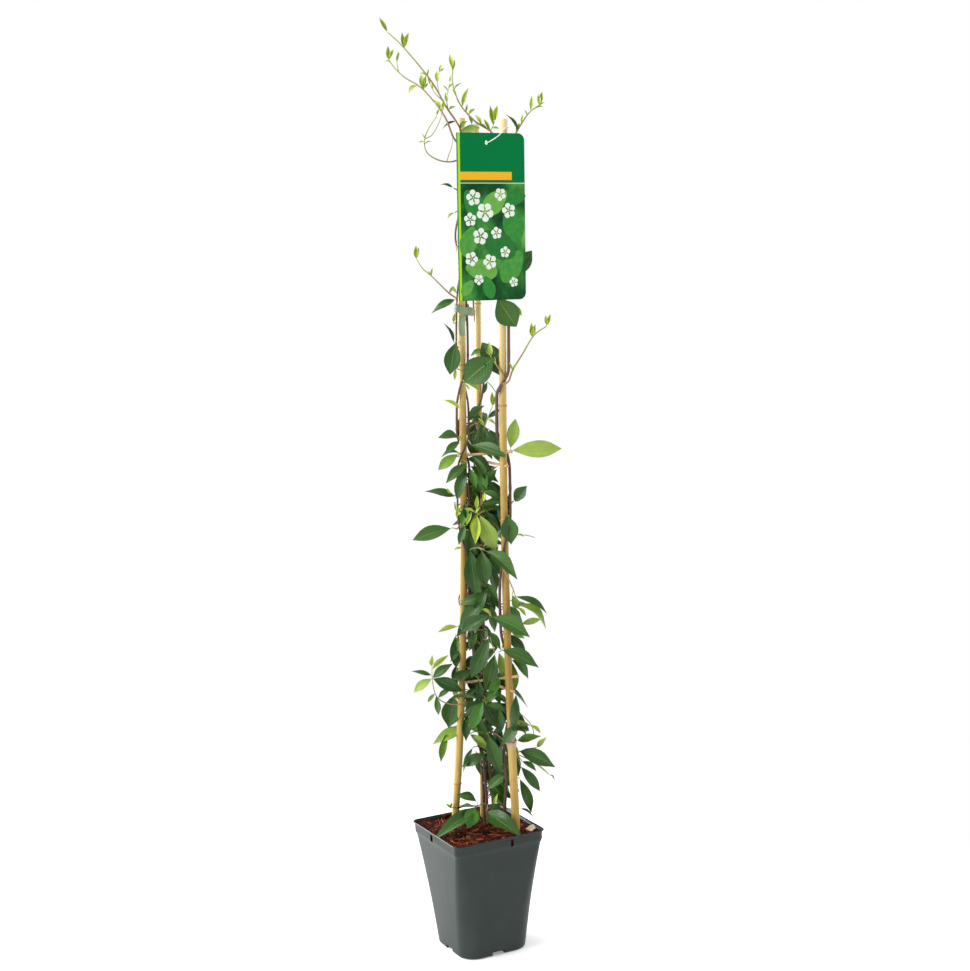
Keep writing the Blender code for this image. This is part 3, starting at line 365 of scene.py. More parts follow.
def smooth(thing, angle=40.0):
    """Shades a thing smoothly, except over edges sharper than the angle."""
    only(thing)
    bpy.ops.object.shade_smooth_by_angle(angle=math.radians(angle))
    return thing


def upright_to(line):
    """A turn that lays a thing's own upward direction along a line."""
    return UP.rotation_difference(line).to_matrix().to_4x4()


# %% [markdown]
# A finished piece gets its material and the name of the solid that it stands for. Nothing on this plant
# moves on a joint, so every piece rides on the same body.


# %% Dressing a piece
def dress(thing, slot, *finishes, node):
    """Gives a piece its finish, and the name and place of the solid that it stands for; the slot is not
    used.
    """
    thing.name = thing.data.name = node + "_piece"
    if finishes:
        thing.data.materials.clear()
        for finish in finishes:
            thing.data.materials.append(finish.material)
    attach(thing, "root")
    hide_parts(node)
    places = list(zip(*[point.co for point in thing.data.vertices]))
    extent = [round(max(row) - min(row), 4) for row in places]
    print(f"{thing.name}: {len(thing.data.polygons)} faces, size {extent}")


# %% [markdown]
# Canes, vines, twigs and the card's hook are all long and round. Each could be an extruded circle,
# but a curve with a bevel follows any path without pinching, takes a radius at every point, and turns
# into a mesh with closed ends.


# %% Rods and smooth routes
def rod(name, points, radii, roundness=3, smoothing=40.0):
    """A round rod through points in metres, with a radius in millimetres at each."""
    curve = bpy.data.curves.new(name, "CURVE")
    curve.dimensions = "3D"
    curve.bevel_depth, curve.bevel_resolution, curve.use_fill_caps = MM, roundness, True
    line = curve.splines.new("POLY")
    line.points.add(len(points) - 1)
    for point, place, radius in zip(line.points, points, radii):
        point.co, point.radius = (*place, 1.0), radius
    made = bpy.data.objects.new(name, curve)
    bpy.context.scene.collection.objects.link(made)
    only(made)
    bpy.ops.object.convert(target="MESH")
    made = bpy.context.object
    made.data.name = name
    return smooth(made, smoothing)


def curved(points, step):
    """Places about step metres apart on a smooth curve through the given ones."""
    ends = [points[0] * 2 - points[1], *points, points[-1] * 2 - points[-2]]
    route = []
    for before, start, end, after in zip(ends, ends[1:], ends[2:], ends[3:]):
        count = max(1, round((end - start).length / step))
        for t in (i / count for i in range(count)):
            route.append(start + (end - before) * (0.5 * t)
                         + (before * 2 - start * 5 + end * 4 - after) * (0.5 * t * t)
                         + (start * 3 - end * 3 + after - before) * (0.5 * t * t * t))
    return [*route, points[-1].copy()]


# %% [markdown]
# ## Pot
#
# A square two-litre nursery pot, injection moulded in one thin sheet of plastic. It could be a cube
# drawn narrower at its foot, but its corners are broad below and tight under the skirt, so each row of
# the wall needs its own rounding. Rounded outlines are therefore stacked and bridged into the wall,
# and the sheet then gets its thickness.

# %% Pot wall
WALL = 1.3
# height, half width, corner radius, all in millimetres
POT_ROWS = [
    (0.0, 46.8, 21.6), (0.5, 48.1, 22.9), (1.6, 49.1, 23.8), (3.2, 49.6, 24.3), (5.0, 49.8, 24.5),
    (32.0, 52.35, 23.4), (60.0, 55.0, 22.0), (80.0, 56.9, 19.8), (100.0, 58.8, 17.0), (114.0, 60.1, 14.6),
    (128.0, 61.4, 12.0), (138.0, 62.4, 9.8), (146.5, 63.25, 8.4), (149.0, 63.8, 8.2), (151.0, 64.6, 8.3),
    (152.6, 65.15, 8.4), (154.6, 65.4, 8.5), (162.4, 65.4, 8.5), (163.1, 65.8, 8.8), (163.7, 66.9, 9.2),
    (164.3, 67.4, 9.5), (165.3, 67.5, 9.5), (166.0, 67.0, 9.2)]


def outline(height, half, corner, steps=9):
    """A flat square of that half width with rounded corners, millimetres."""
    made = primitive("plane", size=2 * half * MM, location=(0, 0, height * MM))
    edit_all()
    bpy.ops.mesh.bevel(affect="VERTICES", offset=corner * MM, segments=steps, clamp_overlap=False)
    return settle(made)


def sleeve(rows, name):
    """An open wall through rounded outlines, one for each row."""
    wall = join([outline(*row) for row in rows], name)
    edit_all()
    bpy.ops.mesh.delete(type="ONLY_FACE")
    bpy.ops.mesh.select_all(action="SELECT")
    bpy.ops.mesh.bridge_edge_loops()
    return wall


def cap(thing, height):
    """Closes the opening at that height with a flat face."""
    pick(thing, lambda p: abs(p.z - height * MM) < 1e-6)
    bpy.ops.mesh.edge_face_add()
    bpy.ops.mesh.select_all(action="SELECT")
    bpy.ops.mesh.normals_make_consistent(inside=False)
    return settle(thing)


pot = cap(sleeve(POT_ROWS, "pot_wall"), 0.0)
modify(pot, "SOLIDIFY", thickness=WALL * MM, offset=-1.0, use_even_offset=True)
print("pot width", round(pot.dimensions.x / MM, 2), "mm")


# %% [markdown]
# Slots under the rim take a label or a hanger, and four channels under the floor let water out, each
# between thin walls of its own. In the mould they are steel blocks that the plastic flows round, so
# the same is done here: the channel walls are added as blocks, then the channels and slots are cut
# with the exact Boolean solver, which leaves a closed shell.


# %% Slots and drain channels
CHANNEL_WALLS = ((26.5, -11.05, 0.4), (48.3, 11.05, 6.8))
CHANNEL = ((27.8, -9.75, -2.0), (60.0, 9.75, 5.5))
FRONT_SLOT = ((14.8, -72.0, 152.0), (18.6, -58.0, 161.5))
LEFT_SLOT = ((-72.0, 5.2, 152.0), (-58.0, 12.2, 161.5))


def block(corners, turn):
    """A box between two corners in millimetres, turned round the pot's middle."""
    low, high = [Vector(corner) * MM for corner in corners]
    made = primitive("cube", size=1.0, location=(low + high) / 2, scale=high - low)
    made.data.transform(Matrix.Rotation(math.radians(turn), 4, "Z"))
    return made


def cut(target, tool, operation="DIFFERENCE", use_self=False):
    """Cuts a thing with a tool, or adds the tool to it, and throws the tool away."""
    modify(target, "BOOLEAN", operation=operation, solver="EXACT", object=tool, use_self=use_self)
    bpy.data.objects.remove(tool)


for turn in range(0, 360, 90):
    cut(pot, block(CHANNEL_WALLS, turn), "UNION")
for turn in range(0, 360, 90):
    cut(pot, block(CHANNEL, turn))
for turn in (0, 180):
    cut(pot, block(FRONT_SLOT, turn))
    cut(pot, block(LEFT_SLOT, turn))
smooth(pot, 32.0)
print("pot faces", len(pot.data.polygons))

# %% [markdown]
# The plastic is dark grey-green with a satin skin. It has faint upright flow marks from the mould, a
# bloom of dust, and a slight wave in the wall that breaks up its reflections. One flat colour would
# make a thin wall look like a solid block, so stretched noise stands for the flow marks and fine noise
# for the dust.

# %% Pot plastic
plastic = Finish("pot_plastic", Specular_IOR_Level=0.37)
flow = plastic.noise(plastic.place(70.0, 70.0, 9.0), 1.0, 3.0)
dust = plastic.noise(plastic.place(), 38.0, 5.0, 0.6)
foot_dust = 1.0 - plastic.axis("Z").step(0.0, 0.05)
bloom = (dust.step(0.42, 0.75) * 0.35 + foot_dust * 0.25) * 0.3
skin = plastic.mix(flow, (0.0050, 0.0125, 0.0095), (0.0085, 0.0185, 0.0145))
plastic.colour(plastic.mix(bloom, skin, (0.050, 0.060, 0.054)))
plastic.roughness(0.36 + flow * 0.10 + bloom * 0.3)
plastic.bump(flow * 0.6 + dust * 0.4, 0.0006, 0.25)
dress(pot, "pot_plastic", plastic, node="pot")

# %% [markdown]
# ## Substrate
#
# The pot is filled almost to the rim with red-brown bark and coir. Every crumb could be a piece of its
# own, but thousands would be hidden. So the bed is one closed body: its top is a finely divided grid
# raised into hummocks, and its sides are drawn down inside the wall to the pot's floor.

# %% Bark bed
random.seed(5)
BED_HALF, BED_TOP, BED_CORNER = 63.6, 160.6, 7.0
# height, half width, corner radius, where the bed's sides follow the wall
BED_ROWS = ((146.0, 61.2, 8.6), (100.0, 57.0, 17.5), (60.0, 53.2, 22.6), (8.0, 48.2, 24.6))


def hummock(x, y):
    """How far the bed stands above its mean height, in millimetres."""
    broad = 1.3 * math.sin(x / 9.0 + 0.6) * math.cos(y / 11.0) + 0.8 * math.sin((x - y) / 6.5)
    crumbs = 1.5 * noise.noise((x / 3.2, y / 3.2, 0.0)) + 1.0 * noise.noise((x / 1.5, y / 1.5, 4.0))
    return 0.8 * broad + crumbs


def rounded(x, y, half, corner):
    """A place drawn in to a square outline with rounded corners."""
    past = Vector((max(0.0, abs(x) - half + corner), max(0.0, abs(y) - half + corner)))
    if past.length > corner:
        past = past - past.normalized() * corner
        x, y = x - math.copysign(past.x, x), y - math.copysign(past.y, y)
    return x, y


bed = primitive("grid", x_subdivisions=84, y_subdivisions=84, size=2 * BED_HALF * MM,
                location=(0, 0, BED_TOP * MM))
for point in bed.data.vertices:
    x, y = rounded(point.co.x / MM, point.co.y / MM, BED_HALF, BED_CORNER)
    banked = 1.3 * max(abs(x), abs(y)) ** 4 / BED_HALF ** 4
    point.co = Vector((x, y, BED_TOP + hummock(x, y) + banked)) * MM
bpy.ops.object.mode_set(mode="EDIT")
bpy.ops.mesh.select_mode(type="EDGE")
bpy.ops.mesh.select_all(action="SELECT")
bpy.ops.mesh.region_to_loop()
half = BED_HALF
for height, narrower, corner in BED_ROWS:
    bpy.ops.mesh.extrude_edges_move()
    share = narrower / half
    bpy.ops.transform.resize(value=(share, share, 0.0), center_override=(0, 0, height * MM))
    bpy.ops.object.mode_set(mode="OBJECT")
    for point in bed.data.vertices:
        if abs(point.co.z - height * MM) < 1e-5:
            x, y = rounded(point.co.x / MM, point.co.y / MM, narrower, corner)
            point.co.x, point.co.y = x * MM, y * MM
    bpy.ops.object.mode_set(mode="EDIT")
    half = narrower
bpy.ops.mesh.edge_face_add()
bpy.ops.mesh.select_all(action="SELECT")
bpy.ops.mesh.normals_make_consistent(inside=False)
settle(bed)
print("bed top", round(max(p.co.z for p in bed.data.vertices) / MM, 1), "mm")


# %% [markdown]
# Loose bark pieces and hair-thin coir fibres lie on the bed. Four pieces and three fibres are modelled
# and then copied some hundreds of times, each copy turned, tilted and sized differently. A particle
# system would scatter them faster, but its copies aren't meshes of their own and would be lost when
# the model is exported. Each has few faces, because there are so many.


# %% Forms of bark and coir
SPLINTER_SIZES = ((0.011, 0.004, 0.0016), (0.007, 0.005, 0.0022), (0.015, 0.0026, 0.0014),
                  (0.005, 0.0036, 0.0026))     # metres


def splinter(size, wobble=0.16):
    """An angular piece of bark, lying on its side."""
    made = primitive("cube", size=1.0, scale=size)
    edit_all()
    bpy.ops.mesh.subdivide(number_cuts=1)
    bpy.ops.object.mode_set(mode="OBJECT")
    for point in made.data.vertices:
        shake = Vector([random.uniform(-wobble, wobble) for _ in range(3)])
        point.co += Vector([a * b for a, b in zip(shake, size)])
    return made


def fibre(bend):
    """A curved hair of coir, two centimetres long."""
    course = [Vector((x, bend * math.sin(3.4 * x + bend), 0.12 * math.sin(5 * x))) for x in
              (-0.5, -0.25, 0.0, 0.25, 0.5)]
    made = rod("fibre", course, [18.0] * 5, roundness=0)
    made.data.transform(Matrix.Diagonal((0.02, 0.02, 0.02, 1.0)))
    return made


splinters = [splinter(size) for size in SPLINTER_SIZES]
hairs = [fibre(bend) for bend in (0.12, 0.3, -0.22)]
print("faces of the forms", [len(form.data.polygons) for form in splinters + hairs])


# %% Scattering
def stamp(form, matrix, **marks):
    """A copy of a form with its own mesh, moved by a matrix and marked with point values."""
    mesh = form.data.copy()
    mesh.transform(matrix)
    for name, value in marks.items():
        values = mesh.attributes.new(name, "FLOAT", "POINT").data
        values.foreach_set("value", [value] * len(mesh.vertices))
    made = bpy.data.objects.new(form.name + "_copy", mesh)
    bpy.context.scene.collection.objects.link(made)
    return made


def on_bed(x, y, lift, size, turn, lean):
    """Where a loose piece lies: its place on the bed, its size, its turn and its tilt."""
    spot = Vector((x, y, BED_TOP + hummock(x, y) + lift)) * MM
    spin = Matrix.Rotation(turn, 4, "Z") @ Matrix.Rotation(lean, 4, "Y")
    return Matrix.Translation(spot) @ spin @ Matrix.Diagonal((*size, 1.0))


# three pieces stand against the wall, in front of a slot
litter = [stamp(splinters[1], on_bed(x, 61, 1.5, [1.3] * 3, 0.3 * x, 1.2), tint=0.1)
          for x in (-20, -16, -12)]
for _ in range(420):
    x, y = random.uniform(-59, 59), random.uniform(-59, 59)
    size = [random.uniform(0.45, 1.05)] * 3
    place = on_bed(x, y, 0.3, size, random.uniform(0, 6.28), random.uniform(-0.4, 0.4))
    litter.append(stamp(random.choice(splinters), place, tint=random.random() ** 2.6))
for _ in range(110):
    x, y = random.uniform(-54, 54), random.uniform(-54, 54)
    size = [random.uniform(0.4, 1.3), random.uniform(0.4, 1.2), 1.0]
    place = on_bed(x, y, 1.2, size, random.uniform(0, 6.28), random.uniform(-0.2, 0.2))
    litter.append(stamp(random.choice(hairs), place, tint=random.uniform(0.5, 1.25)))
for form in splinters + hairs:
    bpy.data.objects.remove(form)
bed.data.attributes.new("tint", "FLOAT", "POINT")
print("loose pieces", len(litter))
substrate = join([bed, *litter], "bark_and_coir")
smooth(substrate, 30.0)

# %% [markdown]
# Wet bark is nearly black in its pits and rust red where it catches light; the newest splinters and
# the coir are tan. Five finishes could say so, but one is enough: the mark that each loose piece
# carries is added to the noise, and a ramp turns the sum into a colour.

# %% Bark finish
bark = Finish("bark_substrate", Specular_IOR_Level=0.12)
crumb = bark.noise(bark.place(), 260.0, 5.0, 0.65)
grain = bark.noise(bark.place(), 900.0, 3.0)
age = bark.attribute("tint")
tone = crumb * 0.75 + age * 0.42 - 0.06
bark.colour(bark.ramp(tone, (0.2, (0.014, 0.003, 0.001)), (0.4, (0.070, 0.014, 0.006)),
                      (0.58, (0.20, 0.044, 0.015)), (0.78, (0.40, 0.130, 0.042)),
                      (1.0, (0.60, 0.34, 0.15))))
bark.roughness(0.72 + grain * 0.25)
bark.bump(crumb + grain * 0.4, 0.0008, 0.7)
dress(substrate, "bark_substrate", bark, node="substrate")

# %% [markdown]
# A pale chip of sapwood lies by the right-hand corner, split along its grain, so its ends are ragged
# and its faces ridged. A bevelled block would look sawn. A divided sheet is pushed into ridges and a
# ragged outline instead, and then gets its thickness.

# %% Wood chip
CHIP_LENGTH, CHIP_WIDTH = 12.5, 9.0
chip_low, chip_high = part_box("wood_chip")
chip = primitive("grid", x_subdivisions=10, y_subdivisions=5, size=1.0)
for point in chip.data.vertices:
    x, y = point.co.x, point.co.y
    ragged = 0.05 * math.sin(31.0 * y) if abs(x) > 0.45 else 0.0
    point.co = Vector(((x + math.copysign(ragged, x)) * CHIP_LENGTH,
                       (y + 0.12 * math.sin(4 * x)) * CHIP_WIDTH * (1 - 0.5 * abs(x)),
                       0.5 * math.sin(17 * y) + 0.6 * x * x)) * MM
modify(chip, "SOLIDIFY", thickness=0.0019, offset=0.0)
modify(chip, "BEVEL", width=0.0003, segments=1)
turn = Matrix.Rotation(math.radians(38), 4, RIGHT) @ Matrix.Rotation(math.radians(-6), 4, "Z")
chip.data.transform(Matrix.Translation((chip_low + chip_high) / 2) @ turn)
smooth(chip, 35.0)
sapwood = Finish("wood_chip", Specular_IOR_Level=0.3)
along = sapwood.noise(sapwood.place(160.0, 900.0, 900.0), 1.0, 4.0)
sapwood.colour(sapwood.mix(along, (0.82, 0.70, 0.50), (0.52, 0.37, 0.21)))
sapwood.roughness(0.7 + along * 0.2)
sapwood.bump(along, 0.0004, 0.6)
dress(chip, "wood_chip", sapwood, node="wood_chip")

# %% [markdown]
# ## Bamboo canes
#
# Bamboo is a tube with a raised ring at every joint, and no cane is quite straight. A cylinder with
# loops cut at each joint could be swollen and bent ring by ring; a rod along a bowed line does both at
# once, because it takes a radius at each of its points. The top is sawn flat, so its end face is inset
# and pushed down to show the hollow.


# %% Cane shapes
def cane_axis(foot, top, bow, skew):
    """A function from a height to a cane's middle there, in metres."""
    def axis(height):
        """A straight line, pushed aside by the bow, most near the middle."""
        share = (height - foot[2]) / (top[2] - foot[2])
        place = Vector(foot).lerp(Vector(top), share)
        inside = min(1.0, max(0.0, share))
        place.x += bow * (1 + skew * (1 - 2 * inside)) * 4 * inside * (1 - inside)
        return at(*place)
    return axis


# foot, top, bow, skew, girth at the foot and at the top, joint heights
CANES = {
    "cane_left": ((-30, 28, 174), (12, 14, 1097), 6.5, 1.2, (5.0, 4.6), (216, 337, 469, 625, 782, 940)),
    "cane_right": ((51, -12, 174), (65.6, -8, 1093), -8.3, 0.15, (5.0, 4.6), (430, 580, 730, 840, 985)),
    "cane_back": ((7.6, 51, 174), (30, 40, 1089), 0.0, 0.0, (4.2, 3.86), (250, 400, 560, 700, 860, 1010)),
}
CANE_FOOT = 72.0
# a joint's profile: above or below the joint, and how much thicker
RING = ((-7.0, -0.05), (-3.2, 0.08), (-1.6, 0.3), (-0.6, 0.72), (0.5, 0.76), (1.1, 0.3), (2.2, -0.22),
        (5.0, -0.05))
COLLAR = 283.0                    # where the right-hand cane's sheath ends; it is thicker below
axes = {name: cane_axis(*row[:4]) for name, row in CANES.items()}


def girth(name, height):
    """A cane's radius at a height, in millimetres."""
    thick, thin = CANES[name][4]
    wide = 0.6 if name == "cane_right" and height < COLLAR else 0.0
    return thick + (thin - thick) * (height - CANE_FOOT) / (CANES[name][1][2] - CANE_FOOT) + wide


def cane(name):
    """A cane with its joints and its hollow top."""
    top, joints = CANES[name][1][2], CANES[name][5]
    stations = [(z, 0.06 * math.sin(z / 17.0)) for z in range(int(CANE_FOOT), int(top), 24)
                if all(abs(z - joint) > 9 for joint in joints)]
    stations += [(joint + off, swell) for joint in joints for off, swell in RING]
    stations += [(top - 0.5, 0.0), (top, -0.4)]
    stations.sort()
    points = [axes[name](z) for z, _ in stations]
    radii = [girth(name, z) + swell for z, swell in stations]
    made = rod("bamboo", points, radii, roundness=8, smoothing=50.0)
    end = axes[name](top)
    pick(made, lambda p: abs(p.z - end.z) < 0.0006 and (p - end).length < 0.0044)
    bpy.ops.mesh.select_mode(type="FACE")
    bpy.ops.mesh.inset(thickness=0.0017)
    bpy.ops.transform.translate(value=(0, 0, -0.009))
    return settle(made)


canes = {name: cane(name) for name in CANES}
print("cane tops", {name: round(axis(CANES[name][1][2]).z, 3) for name, axis in axes.items()})

# %% [markdown]
# The right-hand cane keeps the end of an old sheath, which flares round it like a torn paper collar
# with one splinter standing off. An open tube is divided, widened toward its top, torn into waves by
# moving its points, and given a thin wall.

# %% Sheath collar
SHEATH_LENGTH = 0.0315
sheath_foot, sheath_top = axes["cane_right"](COLLAR - 30), axes["cane_right"](COLLAR + 1.5)
sheath = primitive("cylinder", vertices=24, radius=0.0056, depth=SHEATH_LENGTH, end_fill_type="NOTHING")
edit_all()
bpy.ops.mesh.subdivide(number_cuts=4)
bpy.ops.object.mode_set(mode="OBJECT")
for point in sheath.data.vertices:
    share = point.co.z / SHEATH_LENGTH + 0.5
    turn = math.atan2(point.co.y, point.co.x)
    flare = 1.0 + 0.26 * max(0.0, share - 0.55) ** 1.5 * 3.3
    torn = (0.0022 * math.sin(turn + 0.6) + 0.0009 * math.sin(5 * turn)) * max(0.0, share - 0.5) * 2
    splinter = max(0.0, math.cos(turn - 2.66) - 0.86) * 7.0 * max(0.0, share - 0.75) * 4.0
    flare += 0.75 * splinter
    point.co = (point.co.x * flare, point.co.y * flare, point.co.z + torn + 0.0016 * splinter)
modify(sheath, "SOLIDIFY", thickness=0.0006, offset=-1.0)
middle = (sheath_foot + sheath_top) / 2
sheath.data.transform(Matrix.Translation(middle) @ upright_to(sheath_top - sheath_foot))
canes["cane_right"] = join([canes["cane_right"], smooth(sheath)], "cane_with_sheath")
print("cane with sheath", len(canes["cane_right"].data.polygons), "faces")

# %% [markdown]
# Bamboo is straw yellow with fine lengthwise streaks, bleached at the top, with brown water stains and a
# dark line in each joint; along its middle a painted shade of deeper gold stands for the leaves' shadow.
# The joints' heights differ from cane to cane, so each cane gets its own finish from one recipe. Noise
# stretched along the cane gives the streaks, and the height above the floor sets the rest.


# %% Bamboo finish
def bamboo(name, joints, shade_depth):
    """A cane's finish; the last value says how deep the leaves' painted shade makes its middle."""
    made = Finish(f"bamboo_{name}", Specular_IOR_Level=0.35, Coat_Weight=0.06, Coat_Roughness=0.3)
    streak = made.noise(made.place(900.0, 900.0, 9.0), 1.0, 4.0, 0.6)
    patch = made.noise(made.place(90.0, 90.0, 14.0), 1.0, 3.0)
    up = made.axis("Z")
    tone = streak * 0.6 + patch * 0.45 - 0.05
    straw = made.ramp(tone, (0.2, (0.60, 0.435, 0.135)), (0.5, (0.49, 0.330, 0.082)),
                      (0.78, (0.32, 0.190, 0.042)))
    rings = None
    for joint in joints:
        near = 1.0 - (up - joint * MM).size().step(0.0003, 0.0021)
        rings = near if rings is None else rings.math("MAXIMUM", near)
    stain = made.noise(made.place(60.0, 60.0, 22.0), 1.0, 4.0, 0.65).step(0.50, 0.72)
    straw = made.mix(stain * 0.55, straw, (0.36, 0.17, 0.045))
    # painted shade: the leaves' shadow over the cane's middle, painted in as deeper gold
    leaf_shadow_band = up.step(0.27, 0.36) * (1.0 - up.step(0.46, 0.72))
    shaded_straw = made.mix(leaf_shadow_band * shade_depth, straw, (0.31, 0.190, 0.032))
    shaded_straw = made.mix(up.step(0.70, 0.84) * 0.36 + up.step(0.84, 1.1) * 0.38, shaded_straw, (0.92, 0.72, 0.38))
    skin = made.mix(rings * 0.55, shaded_straw, (0.30, 0.16, 0.06))
    if name == "cane_right":
        above = up.math("GREATER_THAN", (COLLAR + 6) * MM)
        papery = up.step((COLLAR - 16) * MM, (COLLAR - 1) * MM) * (1.0 - above)
        husk = made.mix(streak, (0.66, 0.50, 0.33), (0.36, 0.22, 0.12))
        skin = made.mix(papery, skin, husk)
    made.colour(skin)
    made.roughness(0.42 + streak * 0.2 + rings * 0.2)
    made.bump(streak, 0.0003, 0.35)
    return made


for name, made in canes.items():
    # the right-hand cane gets the deepest painted leaf shade
    finish = bamboo(name, CANES[name][5], 0.9 if name == "cane_right" else 0.5)
    dress(made, "bamboo", finish, node=name)

# %% [markdown]
# ## Rungs
#
# Three thin rods of split bamboo join the canes at each of three levels. Nine rods could be drawn
# between their ends, but they are all one stock: one rod is modelled, with a flat split face and sawn
# ends, and copied to every place at its own length.

# %% Rung form
RUNG_RADIUS, SPLIT_FACE = 0.0019, 0.0013
rung_form = primitive("cylinder", vertices=12, radius=RUNG_RADIUS, depth=1.0)
edit_all()
bpy.ops.mesh.bisect(plane_co=(0, -SPLIT_FACE, 0), plane_no=(0, -1, 0), use_fill=True, clear_outer=True)
settle(rung_form)
print("rung form faces", len(rung_form.data.polygons))


# %% Rungs in place
# level: height at the right-hand cane, how much lower at the left-hand one, and how far past each
FRONT_RUNGS = {"low": (370.0, 14.5, 14.0, 15.0), "middle": (669.0, 6.0, 20.0, 13.0),
               "high": (968.0, 6.0, 6.0, 9.0)}
# how far below the front rung, first and last cane, how far past each
OTHER_RUNGS = {"side": (17.0, "cane_back", "cane_right", 8.0, 11.5),
               "rear": (34.0, "cane_left", "cane_back", 9.0, 8.0)}
rungs = {}
for level, (height, drop, before, after) in FRONT_RUNGS.items():
    rows = [("front", "cane_left", height - drop, before, "cane_right", height, after)]
    rows += [(side, start, height - below, before, end, height - below, after)
             for side, (below, start, end, before, after) in OTHER_RUNGS.items()]
    for side, start, start_height, before, end, end_height, after in rows:
        first, last = axes[start](start_height), axes[end](end_height)
        line = (last - first).normalized()
        first, last = first - line * before * MM, last + line * after * MM
        size = Matrix.Diagonal((1, 1, (last - first).length, 1))
        rung = stamp(rung_form, Matrix.Translation((first + last) / 2) @ upright_to(line) @ size)
        rungs[f"rung_{level}_{side}"] = smooth(rung, 35.0)
bpy.data.objects.remove(rung_form)
print("rungs", {name: round(rung.dimensions.length, 3) for name, rung in rungs.items()})

# %% [markdown]
# Split bamboo shows its inside: dull, pinkish brown and fibrous, without the cane's hard skin. It
# has no coat, and its noise is finer.

# %% Split bamboo finish
split = Finish("split_bamboo", Specular_IOR_Level=0.35)
fine = split.noise(split.place(420.0, 420.0, 420.0), 1.0, 4.0)
split.colour(split.mix(fine, (0.66, 0.43, 0.24), (0.40, 0.21, 0.11)))
split.roughness(0.62 + fine * 0.2)
split.bump(fine, 0.0003, 0.5)
for name, rung in rungs.items():
    dress(rung, "split_bamboo", split, node=name)

# %% [markdown]
# ## Label
#
# A label card, folded down its left edge round a bright spine, hangs in front of the canes. One box
# would make it look like a tile. It is made as it is folded: a front and a back sheet with rounded
# outer corners, and a half-round spine that joins them, all of one thin stock. The sheets are divided
# so that they can bulge a little, and the hook's hole is cut through both.

# %% Card
CARD_WIDTH, CARD_HEIGHT, CARD_FOLD, CARD_CORNER = 95.5, 208.3, 3.6, 9.0
CARD_MIDDLE, CARD_LEAN = (25.6, -48.8, 970.9), math.radians(1.3)
SHEET_DEPTH, SHEET_BULGE = 1.45, 0.22
HALF_WIDTH, HALF_HEIGHT = CARD_WIDTH / 2, CARD_HEIGHT / 2
HOLE = Vector((-5.6, 0.0, 92.1)) * MM
card_place = Matrix.Translation(Vector(CARD_MIDDLE) * MM) @ Matrix.Rotation(CARD_LEAN, 4, "Y")


def card_sheet(side):
    """One upright sheet, open edge to the right: side -1 is the front and 1 the back."""
    sheet = primitive("plane", size=1.0)
    edit_all()
    size = ((CARD_WIDTH - CARD_FOLD / 2) * MM, CARD_HEIGHT * MM, 1.0)
    bpy.ops.transform.resize(value=size, center_override=(0, 0, 0))
    bpy.ops.transform.translate(value=(CARD_FOLD / 4 * MM, 0, 0))
    settle(sheet)
    pick(sheet, lambda p: p.x > 0)
    bpy.ops.mesh.bevel(affect="VERTICES", offset=CARD_CORNER * MM, segments=8)
    for cut_z in (66.0, 57.5, 55.5, 43.0, 41.0):
        bpy.ops.mesh.select_all(action="SELECT")
        bpy.ops.mesh.bisect(plane_co=(0, cut_z * MM, 0), plane_no=(0, 1, 0))
    for cut_x in range(-42, 47, 8):
        bpy.ops.mesh.select_all(action="SELECT")
        bpy.ops.mesh.bisect(plane_co=(cut_x * MM, 0, 0), plane_no=(1, 0, 0))
    bpy.ops.mesh.select_all(action="SELECT")
    bpy.ops.transform.rotate(value=-math.pi / 2, orient_axis="X", center_override=(0, 0, 0))
    settle(sheet)
    for point in sheet.data.vertices:
        across = point.co.x / (HALF_WIDTH * MM)
        if abs(point.co.z) > HALF_HEIGHT * MM:
            point.co.z = math.copysign(HALF_HEIGHT * MM, point.co.z)
        point.co.y = side * (SHEET_DEPTH + SHEET_BULGE * (1 - across * across)) * MM
    return sheet


front, back = card_sheet(-1), card_sheet(1)
spine_middle = -HALF_WIDTH + CARD_FOLD / 2
spine = primitive("cylinder", vertices=24, radius=SHEET_DEPTH * MM, depth=CARD_HEIGHT * MM,
                  end_fill_type="NOTHING", location=(spine_middle * MM, 0, 0))
pick(spine, lambda p: p.x > (spine_middle + 0.05) * MM)
bpy.ops.mesh.delete(type="VERT")
settle(spine)
card = join([front, back, spine], "card")
edit_all()
bpy.ops.mesh.remove_doubles(threshold=0.00012)
bpy.ops.mesh.normals_make_consistent(inside=False)
settle(card)
modify(card, "SOLIDIFY", thickness=0.0006, offset=0.0)
punch = primitive("cylinder", vertices=20, radius=0.003, depth=0.02, location=HOLE,
                  rotation=(math.pi / 2, 0, 0))
cut(card, punch, use_self=True)
print("card", [round(n / MM, 1) for n in card.dimensions], "mm")

# %% [markdown]
# The print is plain, with no lettering: a deep green head with an amber band, and a thin pale rule
# over a garden picture. A picture file would blur close up, so the zones are drawn in the finish: each
# is a test on how far across or up the card a place is. The picture's ground goes from dark to bright
# green in soft blots, as a garden out of focus does. The spine is lime.


# %% Card inks
ink = Finish("printed_card", Specular_IOR_Level=0.05)
from_x, depth, from_z = [ink.axis(letter) / MM - middle for letter, middle in zip("XYZ", CARD_MIDDLE)]
shift = from_x * math.cos(CARD_LEAN) - from_z * math.sin(CARD_LEAN)
up = from_x * math.sin(CARD_LEAN) + from_z * math.cos(CARD_LEAN)
blots = ink.noise(ink.place(34.0, 34.0, 26.0), 1.0, 2.0, 0.45)
haze = ink.noise(ink.place(120.0, 120.0, 90.0), 1.0, 3.0)
garden = ink.ramp(blots * 0.85 + haze * 0.15, (0.3, (0.006, 0.035, 0.012)), (0.46, (0.014, 0.10, 0.024)),
                  (0.6, (0.05, 0.25, 0.045)), (0.78, (0.22, 0.50, 0.12)))
head = ink.mix(haze * 0.25, (0.0, 0.185, 0.046), (0.0, 0.215, 0.058))
amber = ink.mix(haze * 0.3, (0.93, 0.45, 0.02), (0.98, 0.55, 0.05))
is_head = up.math("GREATER_THAN", 42.5)
